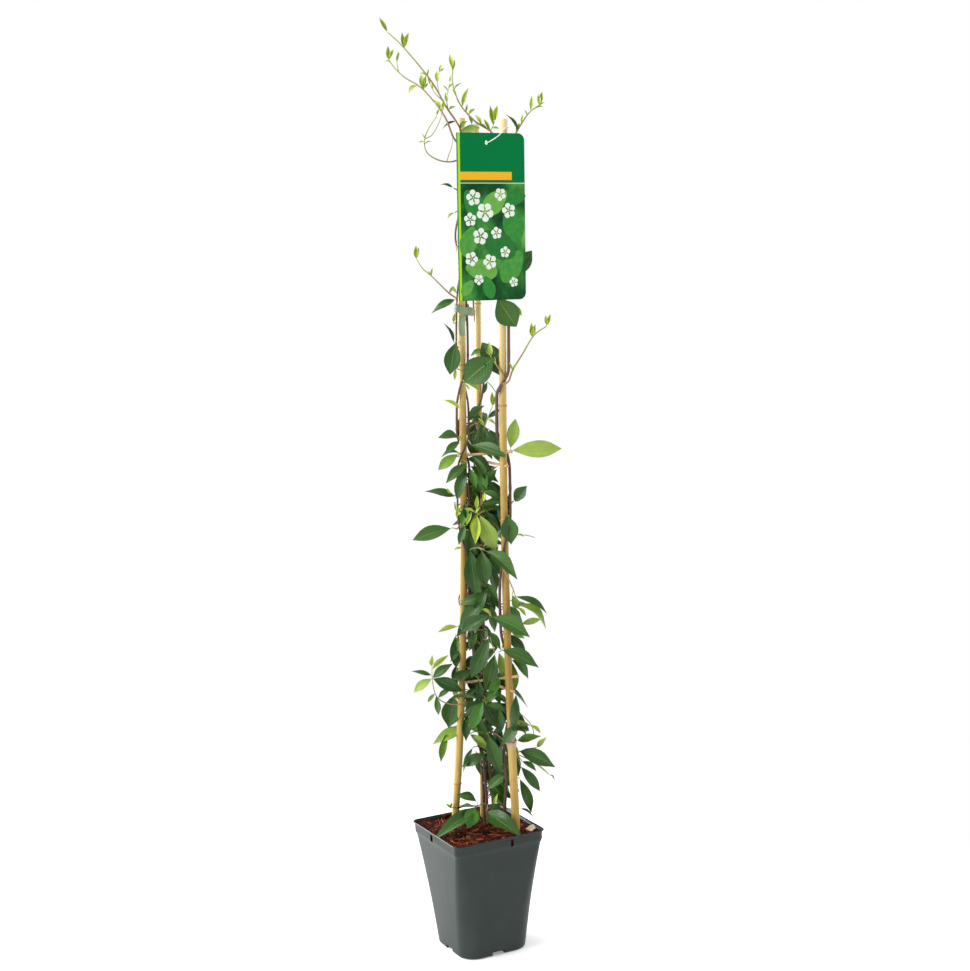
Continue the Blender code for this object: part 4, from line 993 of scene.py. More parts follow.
is_band = up.math("GREATER_THAN", 46.0) * (1.0 - up.math("GREATER_THAN", 56.0))
is_band = is_band * shift.math("LESS_THAN", 29.0)
is_rule = (up - 42.0).size().math("LESS_THAN", 0.6)
print_face = ink.mix(is_head, garden, head)
print_face = ink.mix(is_band, print_face, amber)
print_face = ink.mix(is_rule * 0.7, print_face, (0.75, 0.85, 0.6))
is_spine = 1.0 - shift.step(-44.0, -43.7)
is_edge = 1.0 - shift.step(-46.9, -46.6)
is_back = depth.math("GREATER_THAN", 0.9)
both = ink.mix(is_back, print_face, (0.02, 0.19, 0.06))
folded = ink.mix(is_spine, both, (0.42, 0.78, 0.03))
ink.colour(ink.mix(is_edge, folded, (0.01, 0.15, 0.045)))
ink.roughness(0.46 + haze * 0.12)
ink.bump(haze, 0.0003, 0.12)
print("card ink nodes", len(ink.tree.nodes))


# %% [markdown]
# Broad leaves and round five-petalled blossoms are printed in the picture. Their edges would go soft
# as noise, so they are thin shapes laid on the card: one petal is a circle narrowed toward the
# flower's middle, and five make a blossom. One blossom and one leaf are copied over the picture.


# %% Printed blossom and leaf
def five_petals():
    """A flat blossom in the card's plane, one unit across."""
    petals = []
    for i in range(5):
        petal = primitive("circle", vertices=12, radius=0.2, fill_type="NGON", location=(0, 0.29, 0))
        pick(petal, lambda p: p.y < 0.24)
        bpy.ops.transform.resize(value=(0.45, 1.0, 1.0), center_override=(0, 0.1, 0))
        settle(petal)
        petal.data.transform(Matrix.Rotation(2 * math.pi * i / 5, 4, "Z"))
        petals.append(petal)
    return modify(join(petals, "blossom"), "SOLIDIFY", thickness=0.012, offset=0.0)


def flat_leaf():
    """A broad pointed leaf in the card's plane, one unit long."""
    made = primitive("circle", vertices=18, radius=0.5, fill_type="NGON")
    for point in made.data.vertices:
        y = point.co.y
        point.co.x *= 0.62 * (1 - 0.75 * max(0.0, y) - 0.5 * max(0.0, -y - 0.2))
    return modify(made, "SOLIDIFY", thickness=0.006, offset=0.0)


def laid(form, x, z, size, turn, lift, **marks):
    """A copy lying on the card's front at a place in millimetres from the card's middle."""
    across = x / HALF_WIDTH
    depth = -SHEET_DEPTH - SHEET_BULGE * (1 - across * across) - 0.36 - lift
    spot = Matrix.Translation(Vector((x, depth, z)) * MM)
    upright = Matrix.Rotation(math.pi / 2, 4, "X") @ Matrix.Rotation(math.radians(turn), 4, "Z")
    flat_size = Matrix.Diagonal((size * MM, size * MM, size * 0.25 * MM, 1))
    return stamp(form, card_place @ spot @ upright @ flat_size, **marks)


# %% Printed picture
# across, up, size, turn, and for the leaves how pale
PRINTED_LEAVES = (
    (-24, 14, 46, 35, 0.35), (-33, -30, 40, -20, 0.6), (4, 18, 44, -50, 0.8), (30, -8, 50, 15, 0.45),
    (8, -34, 56, 60, 0.2), (-16, -66, 46, 80, 0.75), (28, -62, 48, -35, 0.55), (34, 24, 30, -80, 0.3),
    (-6, -88, 30, 20, 0.4), (-36, -88, 24, -40, 0.7))
PRINTED_BLOSSOMS = (
    (-26, 24, 21, 10), (-10, 6, 25, 40), (-31, -3, 18, 5), (-17, -24, 22, 62), (12, 28, 17, 30),
    (24, 8, 20, 15), (-30, -52, 19, 50), (6, -20, 16, 8), (-4, -56, 20, 20), (18, -44, 15, 66),
    (-20, -78, 14, 35), (30, -82, 13, 12))
PETAL_MARK, HEART_MARK = 2.0, 3.0   # above the leaves' marks, which run from 0 to 1
blossom, foliage = five_petals(), flat_leaf()
leaves = [laid(foliage, *place, 0.02, tint=tint) for *place, tint in PRINTED_LEAVES]
flowers = [laid(blossom, *place, 0.16, tint=PETAL_MARK) for place in PRINTED_BLOSSOMS]
hearts = []
for flower in flowers:
    middle = sum((p.co for p in flower.data.vertices), Vector()) / len(flower.data.vertices)
    heart = primitive("uv_sphere", segments=8, ring_count=4, radius=0.0011, location=middle)
    for point in heart.data.vertices:
        point.co.y = middle.y + (point.co.y - middle.y) * 0.25
    marks = heart.data.attributes.new("tint", "FLOAT", "POINT").data
    marks.foreach_set("value", [HEART_MARK] * len(heart.data.vertices))
    hearts.append(heart)
for form in (blossom, foliage):
    bpy.data.objects.remove(form)
card.data.transform(card_place)
prints = join([*leaves, *flowers, *hearts], "prints")
print("printed shapes", len(leaves) + len(flowers), "faces", len(prints.data.polygons))

# %% [markdown]
# One finish serves the whole picture: the mark on each shape says whether it is a leaf, a petal or a
# flower's heart, and how pale. It is joined to the card with a finish of its own beside the card's.

# %% Print inlay finish
inlay = Finish("printed_picture", Specular_IOR_Level=0.12, Roughness=0.5)
tone = inlay.attribute("tint")
mottle = inlay.noise(inlay.place(160.0, 160.0, 160.0), 1.0, 3.0)
green = inlay.ramp(tone * 0.8 + mottle * 0.3, (0.1, (0.008, 0.10, 0.02)), (0.5, (0.03, 0.26, 0.04)),
                   (0.95, (0.22, 0.52, 0.09)))
white = inlay.mix(mottle, (0.95, 0.97, 0.92), (0.72, 0.82, 0.68))
flower_colour = inlay.mix(tone.math("GREATER_THAN", 2.5), white, (0.85, 0.75, 0.12))
inlay.colour(inlay.mix(tone.math("GREATER_THAN", 1.5), green, flower_colour))
prints.data.materials.clear()
prints.data.materials.append(inlay.material)
card.data.materials.append(ink.material)
smooth(card, 30.0)
label = join([card, prints], "label")
dress(label, "printed_card", node="label_card")

# %% [markdown]
# A thin white hook of soft plastic goes once round the right-hand cane and down through the card's
# hole. A ring and a bent pin would show a seam, so it is one curve, as round as wire, with blunt ends.

# %% Hook
HOOK_HEIGHT, HOOK_RADIUS = 1082.0, 0.65
reach = girth("cane_right", HOOK_HEIGHT) + HOOK_RADIUS + 0.6
loop = [axes["cane_right"](HOOK_HEIGHT) + heading(turn, 0) * reach * MM for turn in range(195, -76, -15)]
hole = card_place @ HOLE
ahead = card_place.to_3x3() @ Vector((0.0, 4.0 * MM, 0.0))
arm = [hole - ahead * 0.9 + at(14, 0, 8), hole - ahead * 1.1, hole, hole + ahead,
       hole + ahead * 1.4 + at(0, 0, 6)]
route = curved([*loop, *arm], 2.0 * MM)
ends = [min(1.0, 0.55 + 0.25 * min(i, len(route) - 1 - i)) for i in range(len(route))]
hook = rod("hook", route, [HOOK_RADIUS * share for share in ends])
milky = Finish("white_plastic", Specular_IOR_Level=0.5, Coat_Weight=0.2)
cloud = milky.noise(milky.place(), 300.0, 3.0)
milky.colour(milky.mix(cloud, (0.86, 0.87, 0.85), (0.74, 0.77, 0.73)))
milky.roughness(0.34 + cloud * 0.15)
milky.bump(cloud, 0.0002, 0.2)
dress(hook, "white_plastic", milky, node="label_hook")
print("hook reaches", round(reach, 2), "mm from the cane's middle")

# %% [markdown]
# ## Tie tape
#
# A loop of soft grey-green tape holds the vines to the left-hand cane, and its loose end hangs down
# the front. Cloth could be draped by simulation, but so short and stiff a strip is quicker to shape
# from given curves: the loop is an open tube, slanted, waved and pinched where the tape overlaps, and
# the end is a strip laid down the cane in a slow curve. Both then get the tape's thickness.

# %% Tie loop
TIE_HEIGHT, TAPE_THICKNESS = 853, 0.0007
band = primitive("cylinder", vertices=36, radius=1.0, depth=0.01, end_fill_type="NOTHING")
edit_all()
bpy.ops.mesh.subdivide(number_cuts=3)
bpy.ops.object.mode_set(mode="OBJECT")
for point in band.data.vertices:
    turn = math.atan2(point.co.y, point.co.x)
    pinch = 1.0 - 0.35 * math.exp(-((turn + 1.9) / 0.35) ** 2)
    wave = 0.0004 * math.sin(5 * turn) + 0.0005 * math.cos(900 * point.co.z)
    wide = RIGHT * math.cos(turn) * (0.0136 + wave) + AWAY * math.sin(turn) * (0.0116 + wave)
    point.co = wide + UP * point.co.z * pinch
modify(band, "SOLIDIFY", thickness=TAPE_THICKNESS, offset=-1.0)
modify(band, "BEVEL", width=0.0002, segments=1)
tilt = Matrix.Rotation(math.radians(14), 4, AWAY)
band.data.transform(Matrix.Translation(axes["cane_left"](TIE_HEIGHT) + at(3, 0, 0)) @ tilt)
smooth(band, 45.0)

# %% Loose end
TAIL_TOP, TAIL_LENGTH, TAIL_WIDTH = 846.0, 26.0, 9.2
tail = primitive("grid", x_subdivisions=3, y_subdivisions=10, size=1.0)
for point in tail.data.vertices:
    x, fall = point.co.x, 0.5 - point.co.y
    notch = 1.6 * abs(x) if fall > 0.95 else 0.0
    z = TAIL_TOP - TAIL_LENGTH * fall + notch
    lean = 1.2 * math.sin(3.2 * fall) + 0.4 * fall
    spot = axes["cane_left"](z) + at(1.5 - lean + x * (TAIL_WIDTH - 1.5 * fall), 0, 0)
    point.co = spot + at(0, -girth("cane_left", z) - 4.2 - lean + 0.6 * math.cos(4 * x), 0)
modify(tail, "SOLIDIFY", thickness=TAPE_THICKNESS, offset=0.0)
smooth(tail, 45.0)

# %% Tape finish
tape = Finish("tie_tape", Specular_IOR_Level=0.35)
weave = tape.noise(tape.place(500.0, 500.0, 2400.0), 1.0, 2.0)
scuff = tape.noise(tape.place(), 220.0, 4.0)
tape.colour(tape.mix(scuff, (0.31, 0.38, 0.25), (0.19, 0.25, 0.15)))
tape.roughness(0.48 + scuff * 0.3)
tape.bump(weave + scuff * 0.5, 0.0003, 0.4)
dress(band, "tie_tape", tape, node="tie_band")
dress(tail, "tie_tape", tape, node="tie_tail")

# %% [markdown]
# ## Woody vines
#
# Five vines climb from the pot, twisting round the canes. A twist could be drawn anew, but the solids
# already wind clear of the canes, so the middle of each of their rings is read and a smooth line is
# laid through these middles.


# %% Vine lines
def rings_of(name, sides=5):
    """The middle points and radii of a five-sided tube's rings, lowest first."""
    spots = {tuple(round(c, 6) for c in point.co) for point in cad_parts[name].data.vertices}
    spots = sorted((Vector(spot) for spot in spots), key=lambda spot: spot.z)
    rings = [spots[i:i + sides] for i in range(0, len(spots), sides)]
    middles = [sum(ring, Vector()) / len(ring) for ring in rings]
    radii = [sum((p - m).length for p in ring) / len(ring) / MM for ring, m in zip(rings, middles)]
    return middles, radii


VINES = ("vine_left_rear", "vine_left_front", "vine_right", "vine_back", "vine_middle")
lines = {name: rings_of(name) for name in VINES}
for name, (middles, radii) in lines.items():
    print(name, len(middles), "rings, radius", round(min(radii), 2), "to", round(max(radii), 2), "mm")


def on_vine(name, height):
    """A vine's middle in metres and its radius in millimetres, at a height in millimetres."""
    middles, radii = lines[name]
    i = 0
    while i < len(middles) - 2 and middles[i + 1].z < height * MM:
        i += 1
    low, high = middles[i], middles[i + 1]
    share = min(1.0, max(0.0, (height * MM - low.z) / (high.z - low.z)))
    return low.lerp(high, share), radii[i] + (radii[i + 1] - radii[i]) * share


# %% [markdown]
# Old wood is dark red-brown with pale breathing spots, and it pales to tan toward the growing ends.
# Stretched noise gives the bark's ribs, and the height blends in the tan.

# %% Vine bark
vine_bark = Finish("vine_bark", Specular_IOR_Level=0.35)
rib = vine_bark.noise(vine_bark.place(700.0, 700.0, 60.0), 1.0, 4.0)
spot = vine_bark.noise(vine_bark.place(), 800.0, 2.0).step(0.62, 0.7)
ripe = vine_bark.axis("Z").step(0.55, 1.12)
wood = vine_bark.mix(rib, (0.045, 0.020, 0.015), (0.13, 0.066, 0.040))
wood = vine_bark.mix(ripe * 0.75, wood, (0.25, 0.155, 0.085))
vine_bark.colour(vine_bark.mix(spot * 0.5, wood, (0.34, 0.25, 0.16)))
vine_bark.roughness(0.6 + rib * 0.25)
vine_bark.bump(rib + spot * 0.6, 0.0004, 0.6)
print("vine bark nodes", len(vine_bark.tree.nodes))

# %% [markdown]
# Wherever a pair of leaves has stood, the wood keeps a small knuckle. The rod's radius swells there,
# every few centimetres, which costs no more faces than a smooth rod.

# %% Vines
KNUCKLE_SPACING, KNUCKLE_REACH = 43.0, 5.0
vine_points = []
for name in VINES:
    middles, radii = lines[name]
    route = curved(middles, 6 * MM)
    vine_points += route
    sizes = []
    for point in route:
        height = point.z / MM
        knuckle = max(0.0, 1.0 - abs(height % KNUCKLE_SPACING - 21.0) / KNUCKLE_REACH)
        stout = min(1.0, max(0.0, (height - 600.0) / 100.0)) * (0.4 if name == "vine_right" else 0.14)
        sizes.append(on_vine(name, height)[1] * (0.76 + stout + 0.22 * knuckle))
    dress(rod("vine", route, sizes, roundness=2), "vine_bark", vine_bark, node=name)

# %% [markdown]
# ## Leaves
#
# A leaf's upper side is green and glossy with a paler midrib and faint side veins running forward to
# the edge; its underside is matt and olive. The veins follow the leaf's own UV map, so they bend with
# it. A finish for each shade would be many, so one value on each leaf gives its age, from old dark
# leaves at 0 through bright, olive and pale ones to lime young ones at 1.


# %% Leaf finishes
def leaf_finish(name, gloss, underside):
    """The finish of a leaf's upper side or of its underside."""
    made = Finish(name, Specular_IOR_Level=gloss)
    uv = made.node("SeparateXYZ", inputs={0: made.node("TexCoord", output=2)})
    u, v = uv, Wire(made, uv.socket.node.outputs[1])
    out = (u - 0.5).size()
    midrib = 1.0 - out.step(0.008, 0.034)
    slant = (v * 8.0 - out * 5.0).math("FRACT")
    vein = (1.0 - (slant - 0.5).size().step(0.02, 0.1)) * (1.0 - out.step(0.30, 0.46))
    blotch = made.noise(made.place(), 75.0, 3.0)
    speck = made.noise(made.place(), 420.0, 3.0)
    age = made.attribute("tint") + blotch * 0.16 - 0.08
    if underside:
        flesh = made.ramp(age, (0.0, (0.10, 0.20, 0.055)), (0.35, (0.14, 0.26, 0.06)),
                          (0.75, (0.26, 0.38, 0.08)), (1.0, (0.42, 0.55, 0.09)))
    else:
        flesh = made.ramp(age, (0.0, (0.018, 0.072, 0.008)), (0.2, (0.044, 0.130, 0.014)),
                          (0.4, (0.060, 0.22, 0.014)), (0.6, (0.20, 0.34, 0.030)),
                          (0.78, (0.33, 0.46, 0.075)), (1.0, (0.50, 0.62, 0.07)))
    pale = made.ramp(age, (0.0, (0.12, 0.23, 0.05)), (0.6, (0.32, 0.46, 0.11)), (1.0, (0.56, 0.66, 0.16)))
    grown = 1.0 - age.step(0.6, 0.85) * 0.9
    darker = made.mix((out.step(0.25, 0.5) * 0.2 + speck * 0.15) * grown, flesh, (0.012, 0.060, 0.008))
    made.colour(made.mix(midrib * 0.6 + vein * (0.16 if not underside else 0.3), darker, pale))
    made.roughness((0.31 if not underside else 0.6) + speck * 0.16)
    relief = vein * -0.6 + midrib * (-0.8 if not underside else 1.2) + speck * 0.25
    made.bump(relief * grown + blotch * 1.5, 0.0004, 0.6)
    return made


leaf_top = leaf_finish("dark_leaf", 0.42, False)
leaf_under = leaf_finish("leaf_underside", 0.3, True)
print("leaf finish nodes", len(leaf_top.tree.nodes))

# %% [markdown]
# Young stems carry the same kind of value, from brown at the foot to fresh green at the tip, with a
# little fuzz. All three finishes go on every leaf and stem, so that joining them keeps each face's own.

# %% Stem finish
twig_green = Finish("green_shoot", Specular_IOR_Level=0.4)
fuzz = twig_green.noise(twig_green.place(), 500.0, 3.0)
fresh = twig_green.attribute("tint")
stem_tone = twig_green.ramp(fresh, (0.0, (0.26, 0.13, 0.08)), (0.45, (0.36, 0.23, 0.12)),
                            (0.72, (0.33, 0.36, 0.09)), (1.0, (0.44, 0.54, 0.12)))
twig_green.colour(twig_green.mix(fuzz * 0.3, stem_tone, (0.20, 0.16, 0.07)))
twig_green.roughness(0.5 + fuzz * 0.2)
twig_green.bump(fuzz, 0.0002, 0.4)
LEAF_FINISHES = (leaf_top, leaf_under, twig_green)
print("leaf and stem finishes", [finish.material.name for finish in LEAF_FINISHES])

# %% [markdown]
# A leaf could be a flat card with a cut-out picture, but its edge and bend would be lost close up. So
# it is a grid, narrowed row by row to the blade's outline with its drawn-out tip, creased along its
# midrib, arched and twisted, and given its thickness with the underside as a second finish; a short
# stalk joins it. A handful of such leaves, flat, arched, cupped, twisted and rippled, is enough: every
# copy has its own length, width and colour.

# %% Leaf forms
# the blade's width in each row, from its base to its tip
OUTLINES = {"lance": (0.05, 0.46, 0.80, 0.97, 1.0, 0.88, 0.62, 0.28, 0.02),
            "ellipse": (0.04, 0.40, 0.72, 0.92, 1.0, 0.96, 0.76, 0.40, 0.02)}
ROWS = 8
STALK_SHARE = 0.04
UNDERSIDE, STEM = 1, 2            # their places among the leaf finishes


def leaf_form(name, arch, crease, droop, twist, sway, ripple=0.0, outline="lance"):
    """A leaf one unit long and one wide, base at the origin and its tip along +Y."""
    blade = primitive("grid", x_subdivisions=4, y_subdivisions=ROWS, size=1.0, calc_uvs=True)
    for x in (0.25, 0.5):
        pick(blade, lambda p: abs(abs(p.x) - x) < 0.01)
        bpy.ops.transform.translate(value=(0, 0, crease * x * (1.25 - 0.5 * x)))
    for row, width in enumerate(OUTLINES[outline]):
        share = row / ROWS
        y = share - 0.5
        pick(blade, lambda p: abs(p.y - y) < 0.01)
        wave = 1.0 + ripple * (1 if row % 2 else -1)
        bpy.ops.transform.resize(value=(width, 1.0, width * wave), center_override=(0, y, 0))
        bpy.ops.transform.rotate(value=math.radians(twist * share), orient_axis="Y",
                                 center_override=(0, y, 0))
        lift = arch * math.sin(math.pi * share) - droop * share ** 3
        bpy.ops.transform.translate(value=(sway * math.sin(math.pi * share), 0, lift))
    pick(blade, lambda p: p.y > 0.49)
    bpy.ops.mesh.merge(type="CENTER")
    bpy.ops.mesh.select_all(action="SELECT")
    bpy.ops.transform.resize(value=(1, 1 - STALK_SHARE, 1), center_override=(0, 0.5, 0))
    bpy.ops.transform.translate(value=(0, 0.5, 0))
    settle(blade)
    modify(blade, "SOLIDIFY", thickness=0.011, offset=-1.0, material_offset=1)
    stalk_points = [Vector((0, 0, -0.004)), Vector((0, 0.04, -0.009)), Vector((0, 0.12, -0.002))]
    stalk = rod("stalk", stalk_points, [15.0, 12.0, 9.0], roundness=0)
    for finish in LEAF_FINISHES:
        blade.data.materials.append(finish.material)
        stalk.data.materials.append(finish.material)
    for face in stalk.data.polygons:
        face.material_index = UNDERSIDE
    return smooth(join([blade, stalk], name), 60.0)


FORMS = {
    "flat": leaf_form("leaf_flat", 0.05, 0.22, 0.03, 0.0, 0.0),
    "even": leaf_form("leaf_even", 0.04, 0.16, 0.02, 0.0, 0.01, outline="ellipse"),
    "arched": leaf_form("leaf_arched", 0.11, 0.28, 0.11, 6.0, 0.02),
    "cupped": leaf_form("leaf_cupped", -0.02, 0.44, -0.03, -6.0, -0.02),
    "twisted": leaf_form("leaf_twisted", 0.08, 0.28, 0.06, 30.0, 0.03),
    "swung": leaf_form("leaf_swung", 0.08, 0.26, 0.09, -22.0, -0.05, 0.05),
    "rippled": leaf_form("leaf_rippled", 0.06, 0.32, 0.05, 10.0, 0.03, 0.10),
}
print("leaf form faces", {name: len(form.data.polygons) for name, form in FORMS.items()})

# %% [markdown]
# Leaves differ by age and by where they grow. Each kind has its own width, its usual forms and a range
# of age, and within these every leaf is drawn by lot, so that no two are alike.

# %% Kinds of leaf
# width over length, usual forms, and the age's range
KINDS = {
    "dark": (0.34, ("flat", "even", "arched", "twisted", "swung", "rippled"), (0.0, 0.24)),
    "wide": (0.42, ("flat", "even", "arched", "rippled"), (0.02, 0.14)),
    "broad": (0.56, ("even", "cupped"), (0.02, 0.16)),
    "heart": (0.70, ("even",), (0.14, 0.20)),
    "oval": (0.48, ("even",), (0.06, 0.18)),
    "blade": (0.20, ("flat", "arched"), (0.04, 0.22)),
    "slim": (0.25, ("arched", "twisted", "swung"), (0.02, 0.22)),
    "narrow": (0.22, ("flat", "arched"), (0.40, 0.55)),
    "green": (0.34, ("flat", "arched", "rippled"), (0.34, 0.44)),
    "green_wide": (0.54, ("even",), (0.38, 0.44)),
    "olive": (0.31, ("flat", "arched", "swung"), (0.52, 0.64)),
    "olive_wide": (0.44, ("even", "arched"), (0.52, 0.64)),
    "pale": (0.33, ("even",), (0.68, 0.78)),
    "pale_wide": (0.42, ("even", "arched"), (0.68, 0.78)),
    "leaflet": (0.36, ("cupped", "arched"), (0.78, 0.90)),
    "young": (0.30, ("cupped", "arched"), (0.84, 0.96)),
    "lime": (0.31, ("cupped", "arched"), (0.92, 1.0)),
    "bud": (0.24, ("cupped", "arched"), (0.82, 0.98)),
}
print("kinds of leaf", len(KINDS))

# %% [markdown]
# A leaf is given by where its base and tip are and which way its face looks. Its length, turn and
# tilt then follow by themselves, which is easier to judge than three angles.


# %% Placing a leaf
def leaf(base, tip, face, kind):
    """A leaf from base to tip in metres; face 0 looks up, 90 toward the best side."""
    width, forms, ages = KINDS[kind]
    length = (tip - base).length
    ahead = (tip - base) / length
    tilt = math.radians(face)
    upper = UP * math.cos(tilt) - AWAY * math.sin(tilt)
    upper = (upper - ahead * upper.dot(ahead)).normalized()
    side = ahead.cross(upper)
    width *= random.uniform(0.92, 1.08)
    turned = Matrix((side * width * length, ahead * length, upper * length)).transposed().to_4x4()
    form = FORMS[random.choice(forms)]
    return stamp(form, Matrix.Translation(base) @ turned, tint=random.uniform(*ages))


# %% Stems and twigs
def stem(route, radii, tints, roundness=1):
    """A green stem along a route, its colour value running from the first tint to the last."""
    made = rod("stem", route, radii, roundness=roundness)
    reach = [(point.co - route[0]).length for point in made.data.vertices]
    values = [tints[0] + (tints[1] - tints[0]) * length / max(reach) for length in reach]
    made.data.attributes.new("tint", "FLOAT", "POINT").data.foreach_set("value", values)
    for finish in LEAF_FINISHES:
        made.data.materials.append(finish.material)
    for face in made.data.polygons:
        face.material_index = STEM
    return made


def twig(start, end, radius, tint=0.5):
    """A short side twig, slightly bent."""
    middle = (start + end) / 2 + UP * (end - start).length * 0.08
    return stem([start, middle, end], [radius, radius * 0.9, radius * 0.75], (tint, tint))


def stalked(base, tip, face, kind, node):
    """A leaf with its stalk from the nearest vine, or from its spray's node if that is nearer."""
    root = min([node, *vine_points], key=lambda point: (point - base).length)
    made = [leaf(base, tip, face, kind)]
    if (base - root).length > 2.0 * MM:
        made.append(twig(root, base, 0.75, 0.75))
    return made


# %% [markdown]
# ## Sprays
#
# Sprays are short side twigs with a few leaves. Chance alone would give an even hedge, and this plant
# has its own gaps and bunches, so its main leaves are placed one by one. Each spray grows from its
# vine where its solid does, and its leaves end where the solid's leaves end. A leaf that stands nearer
# to a vine than to its twig has its stalk on that vine.

# %% Sprays round the card
# vine, height, the spray's node, then its leaves: base, tip, how much its face looks up (0) or
# toward the best side (90), kind. Places are millimetres to the right, away and up.
SPRAYS = {
    "spray_beside_card": ("vine_left_rear", 1004, (-1, 4, 1009), [
        ((-2, 3, 1010), (-18, 0, 1015), 60, "dark"), ((-1, 3, 978), (-11, 2, 971), 50, "bud"),
        ((5, 22, 1003), (8, 50, 998), 0, "dark")]),
    "spray_below_card_left": ("vine_left_front", 866, (-5, 9, 871), [
        ((-4, 8, 868), (-36, 3, 852), 66, "dark"), ((-3, 10, 876), (-9, 8, 885), 70, "leaflet"),
        ((6, 27, 864), (8, 46, 838), -20, "dark")]),
    "spray_below_card_right": ("vine_right", 887, (56, -20, 874), [
        ((49, -21, 869), (73, -19, 831), 88, "heart"), ((72, -8, 858), (80, -7, 844), 60, "young"),
        ((54, -18, 886), (38, -14, 890), 60, "dark"), ((71, 2, 894), (96, 0, 927), 70, "broad")]),
    "spray_heart_leaf": ("vine_left_front", 812, (-5, 8, 813), [
        ((-6, 7, 813), (-15, 4, 771), 85, "oval"), ((-8, 9, 812), (-20, 7, 839), 35, "slim"),
        ((-8, 10, 837), (-5, 8, 851), 70, "young"), ((-7, 9, 778), (-9, 8, 763), 60, "young"),
        ((0, 24, 806), (-16, 44, 792), -30, "dark")]),
    "spray_broad_centre": ("vine_right", 764, (45, -14, 784), [
        ((44, -12, 793), (3, -6, 761), 82, "heart"), ((52, -10, 767), (28, 2, 812), 66, "broad"),
        ((39, -8, 793), (37, -8, 813), 80, "young"), ((33, -4, 800), (12, 2, 795), 42, "green"),
        ((33, 6, 760), (28, 8, 744), 60, "dark")]),
    "spray_left_young": ("vine_left_rear", 762, (1, 6, 763), [
        ((1, 6, 763), (25, 3, 748), 50, "lime"), ((-5, 9, 727), (-24, 6, 738), 40, "lime"),
        ((4, 9, 758), (10, 8, 750), 50, "young")]),
}
print("sprays round the card", len(SPRAYS))

# %% Sprays at the high rungs
SPRAYS |= {
    "spray_left_upper": ("vine_left_rear", 688, (-6, 11, 686), [
        ((-5, 9, 687), (-33, 3, 691), 32, "dark"), ((-5, 9, 684), (-25, 4, 669), 66, "wide"),
        ((-6, 10, 668), (-31, 8, 665), 28, "green"), ((-8, 9, 667), (-35, 4, 647), 66, "olive_wide")]),
    "spray_front_arch": ("vine_left_front", 684, (9, 9, 679), [
        ((9, 9, 678), (54, -19, 665), 50, "dark"), ((11, 10, 663), (30, 4, 627), 58, "slim"),
        ((24, 16, 692), (7, 18, 690), 30, "dark"), ((1, 9, 650), (-12, 5, 606), 60, "dark"),
        ((4, 9, 654), (-26, 6, 629), 55, "dark")]),
    "spray_big_pale": ("vine_right", 668, (61, -8, 670), [
        ((61, -8, 671), (127, -6, 671), 76, "pale"), ((60, -8, 673), (68, -6, 712), 84, "pale_wide")]),
    "spray_left_narrow": ("vine_left_front", 608, (-13, 13, 611), [
        ((-14, 13, 610), (-53, 8, 620), 60, "dark"), ((-20, 12, 612), (-25, 11, 623), 70, "young"),
        ((-13, 12, 590), (-15, 11, 604), 70, "young"), ((2, 9, 600), (-8, 7, 569), 65, "green"),
        ((-3, 10, 602), (4, 8, 574), 60, "dark")]),
    "spray_right_small": ("vine_right", 600, (62, -9, 605), [
        ((62, -9, 605), (80, -8, 624), 76, "broad"), ((63, -9, 604), (76, -12, 610), 60, "wide"),
        ((53, -18, 588), (57, -17, 549), 80, "broad"), ((66, -12, 562), (74, -10, 557), 50, "young"),
        ((58, 2, 598), (50, 34, 586), 0, "dark")]),
    "spray_middle_top": ("vine_middle", 606, (20, 0, 601), [
        ((20, -1, 599), (50, -4, 604), 40, "dark"), ((22, 3, 617), (48, -2, 606), 60, "dark"),
        ((22, 2, 597), (50, 0, 590), 50, "dark"), ((13, -1, 594), (15, -2, 613), 80, "lime"),
        ((22, -1, 603), (25, -2, 617), 75, "lime"), ((7, 8, 647), (14, 6, 620), 60, "green"),
        ((20, 10, 652), (24, 6, 612), 60, "dark"), ((28, 8, 625), (44, 6, 608), 50, "dark")]),
    "spray_pale_hanging": ("vine_middle", 588, (17, -3, 588), [
        ((17, -5, 588), (37, -6, 540), 84, "pale_wide"), ((24, 0, 592), (43, 2, 562), 62, "dark"),
        ((11, -4, 592), (-3, -5, 596), 55, "lime"), ((7, -4, 592), (-1, -6, 574), 65, "young"),
        ((12, -5, 590), (18, -7, 598), 60, "lime"), ((10, -5, 585), (6, -6, 562), 70, "lime"),
        ((14, -5, 588), (10, -7, 549), 70, "lime")]),
}
print("sprays with those at the high rungs", len(SPRAYS))

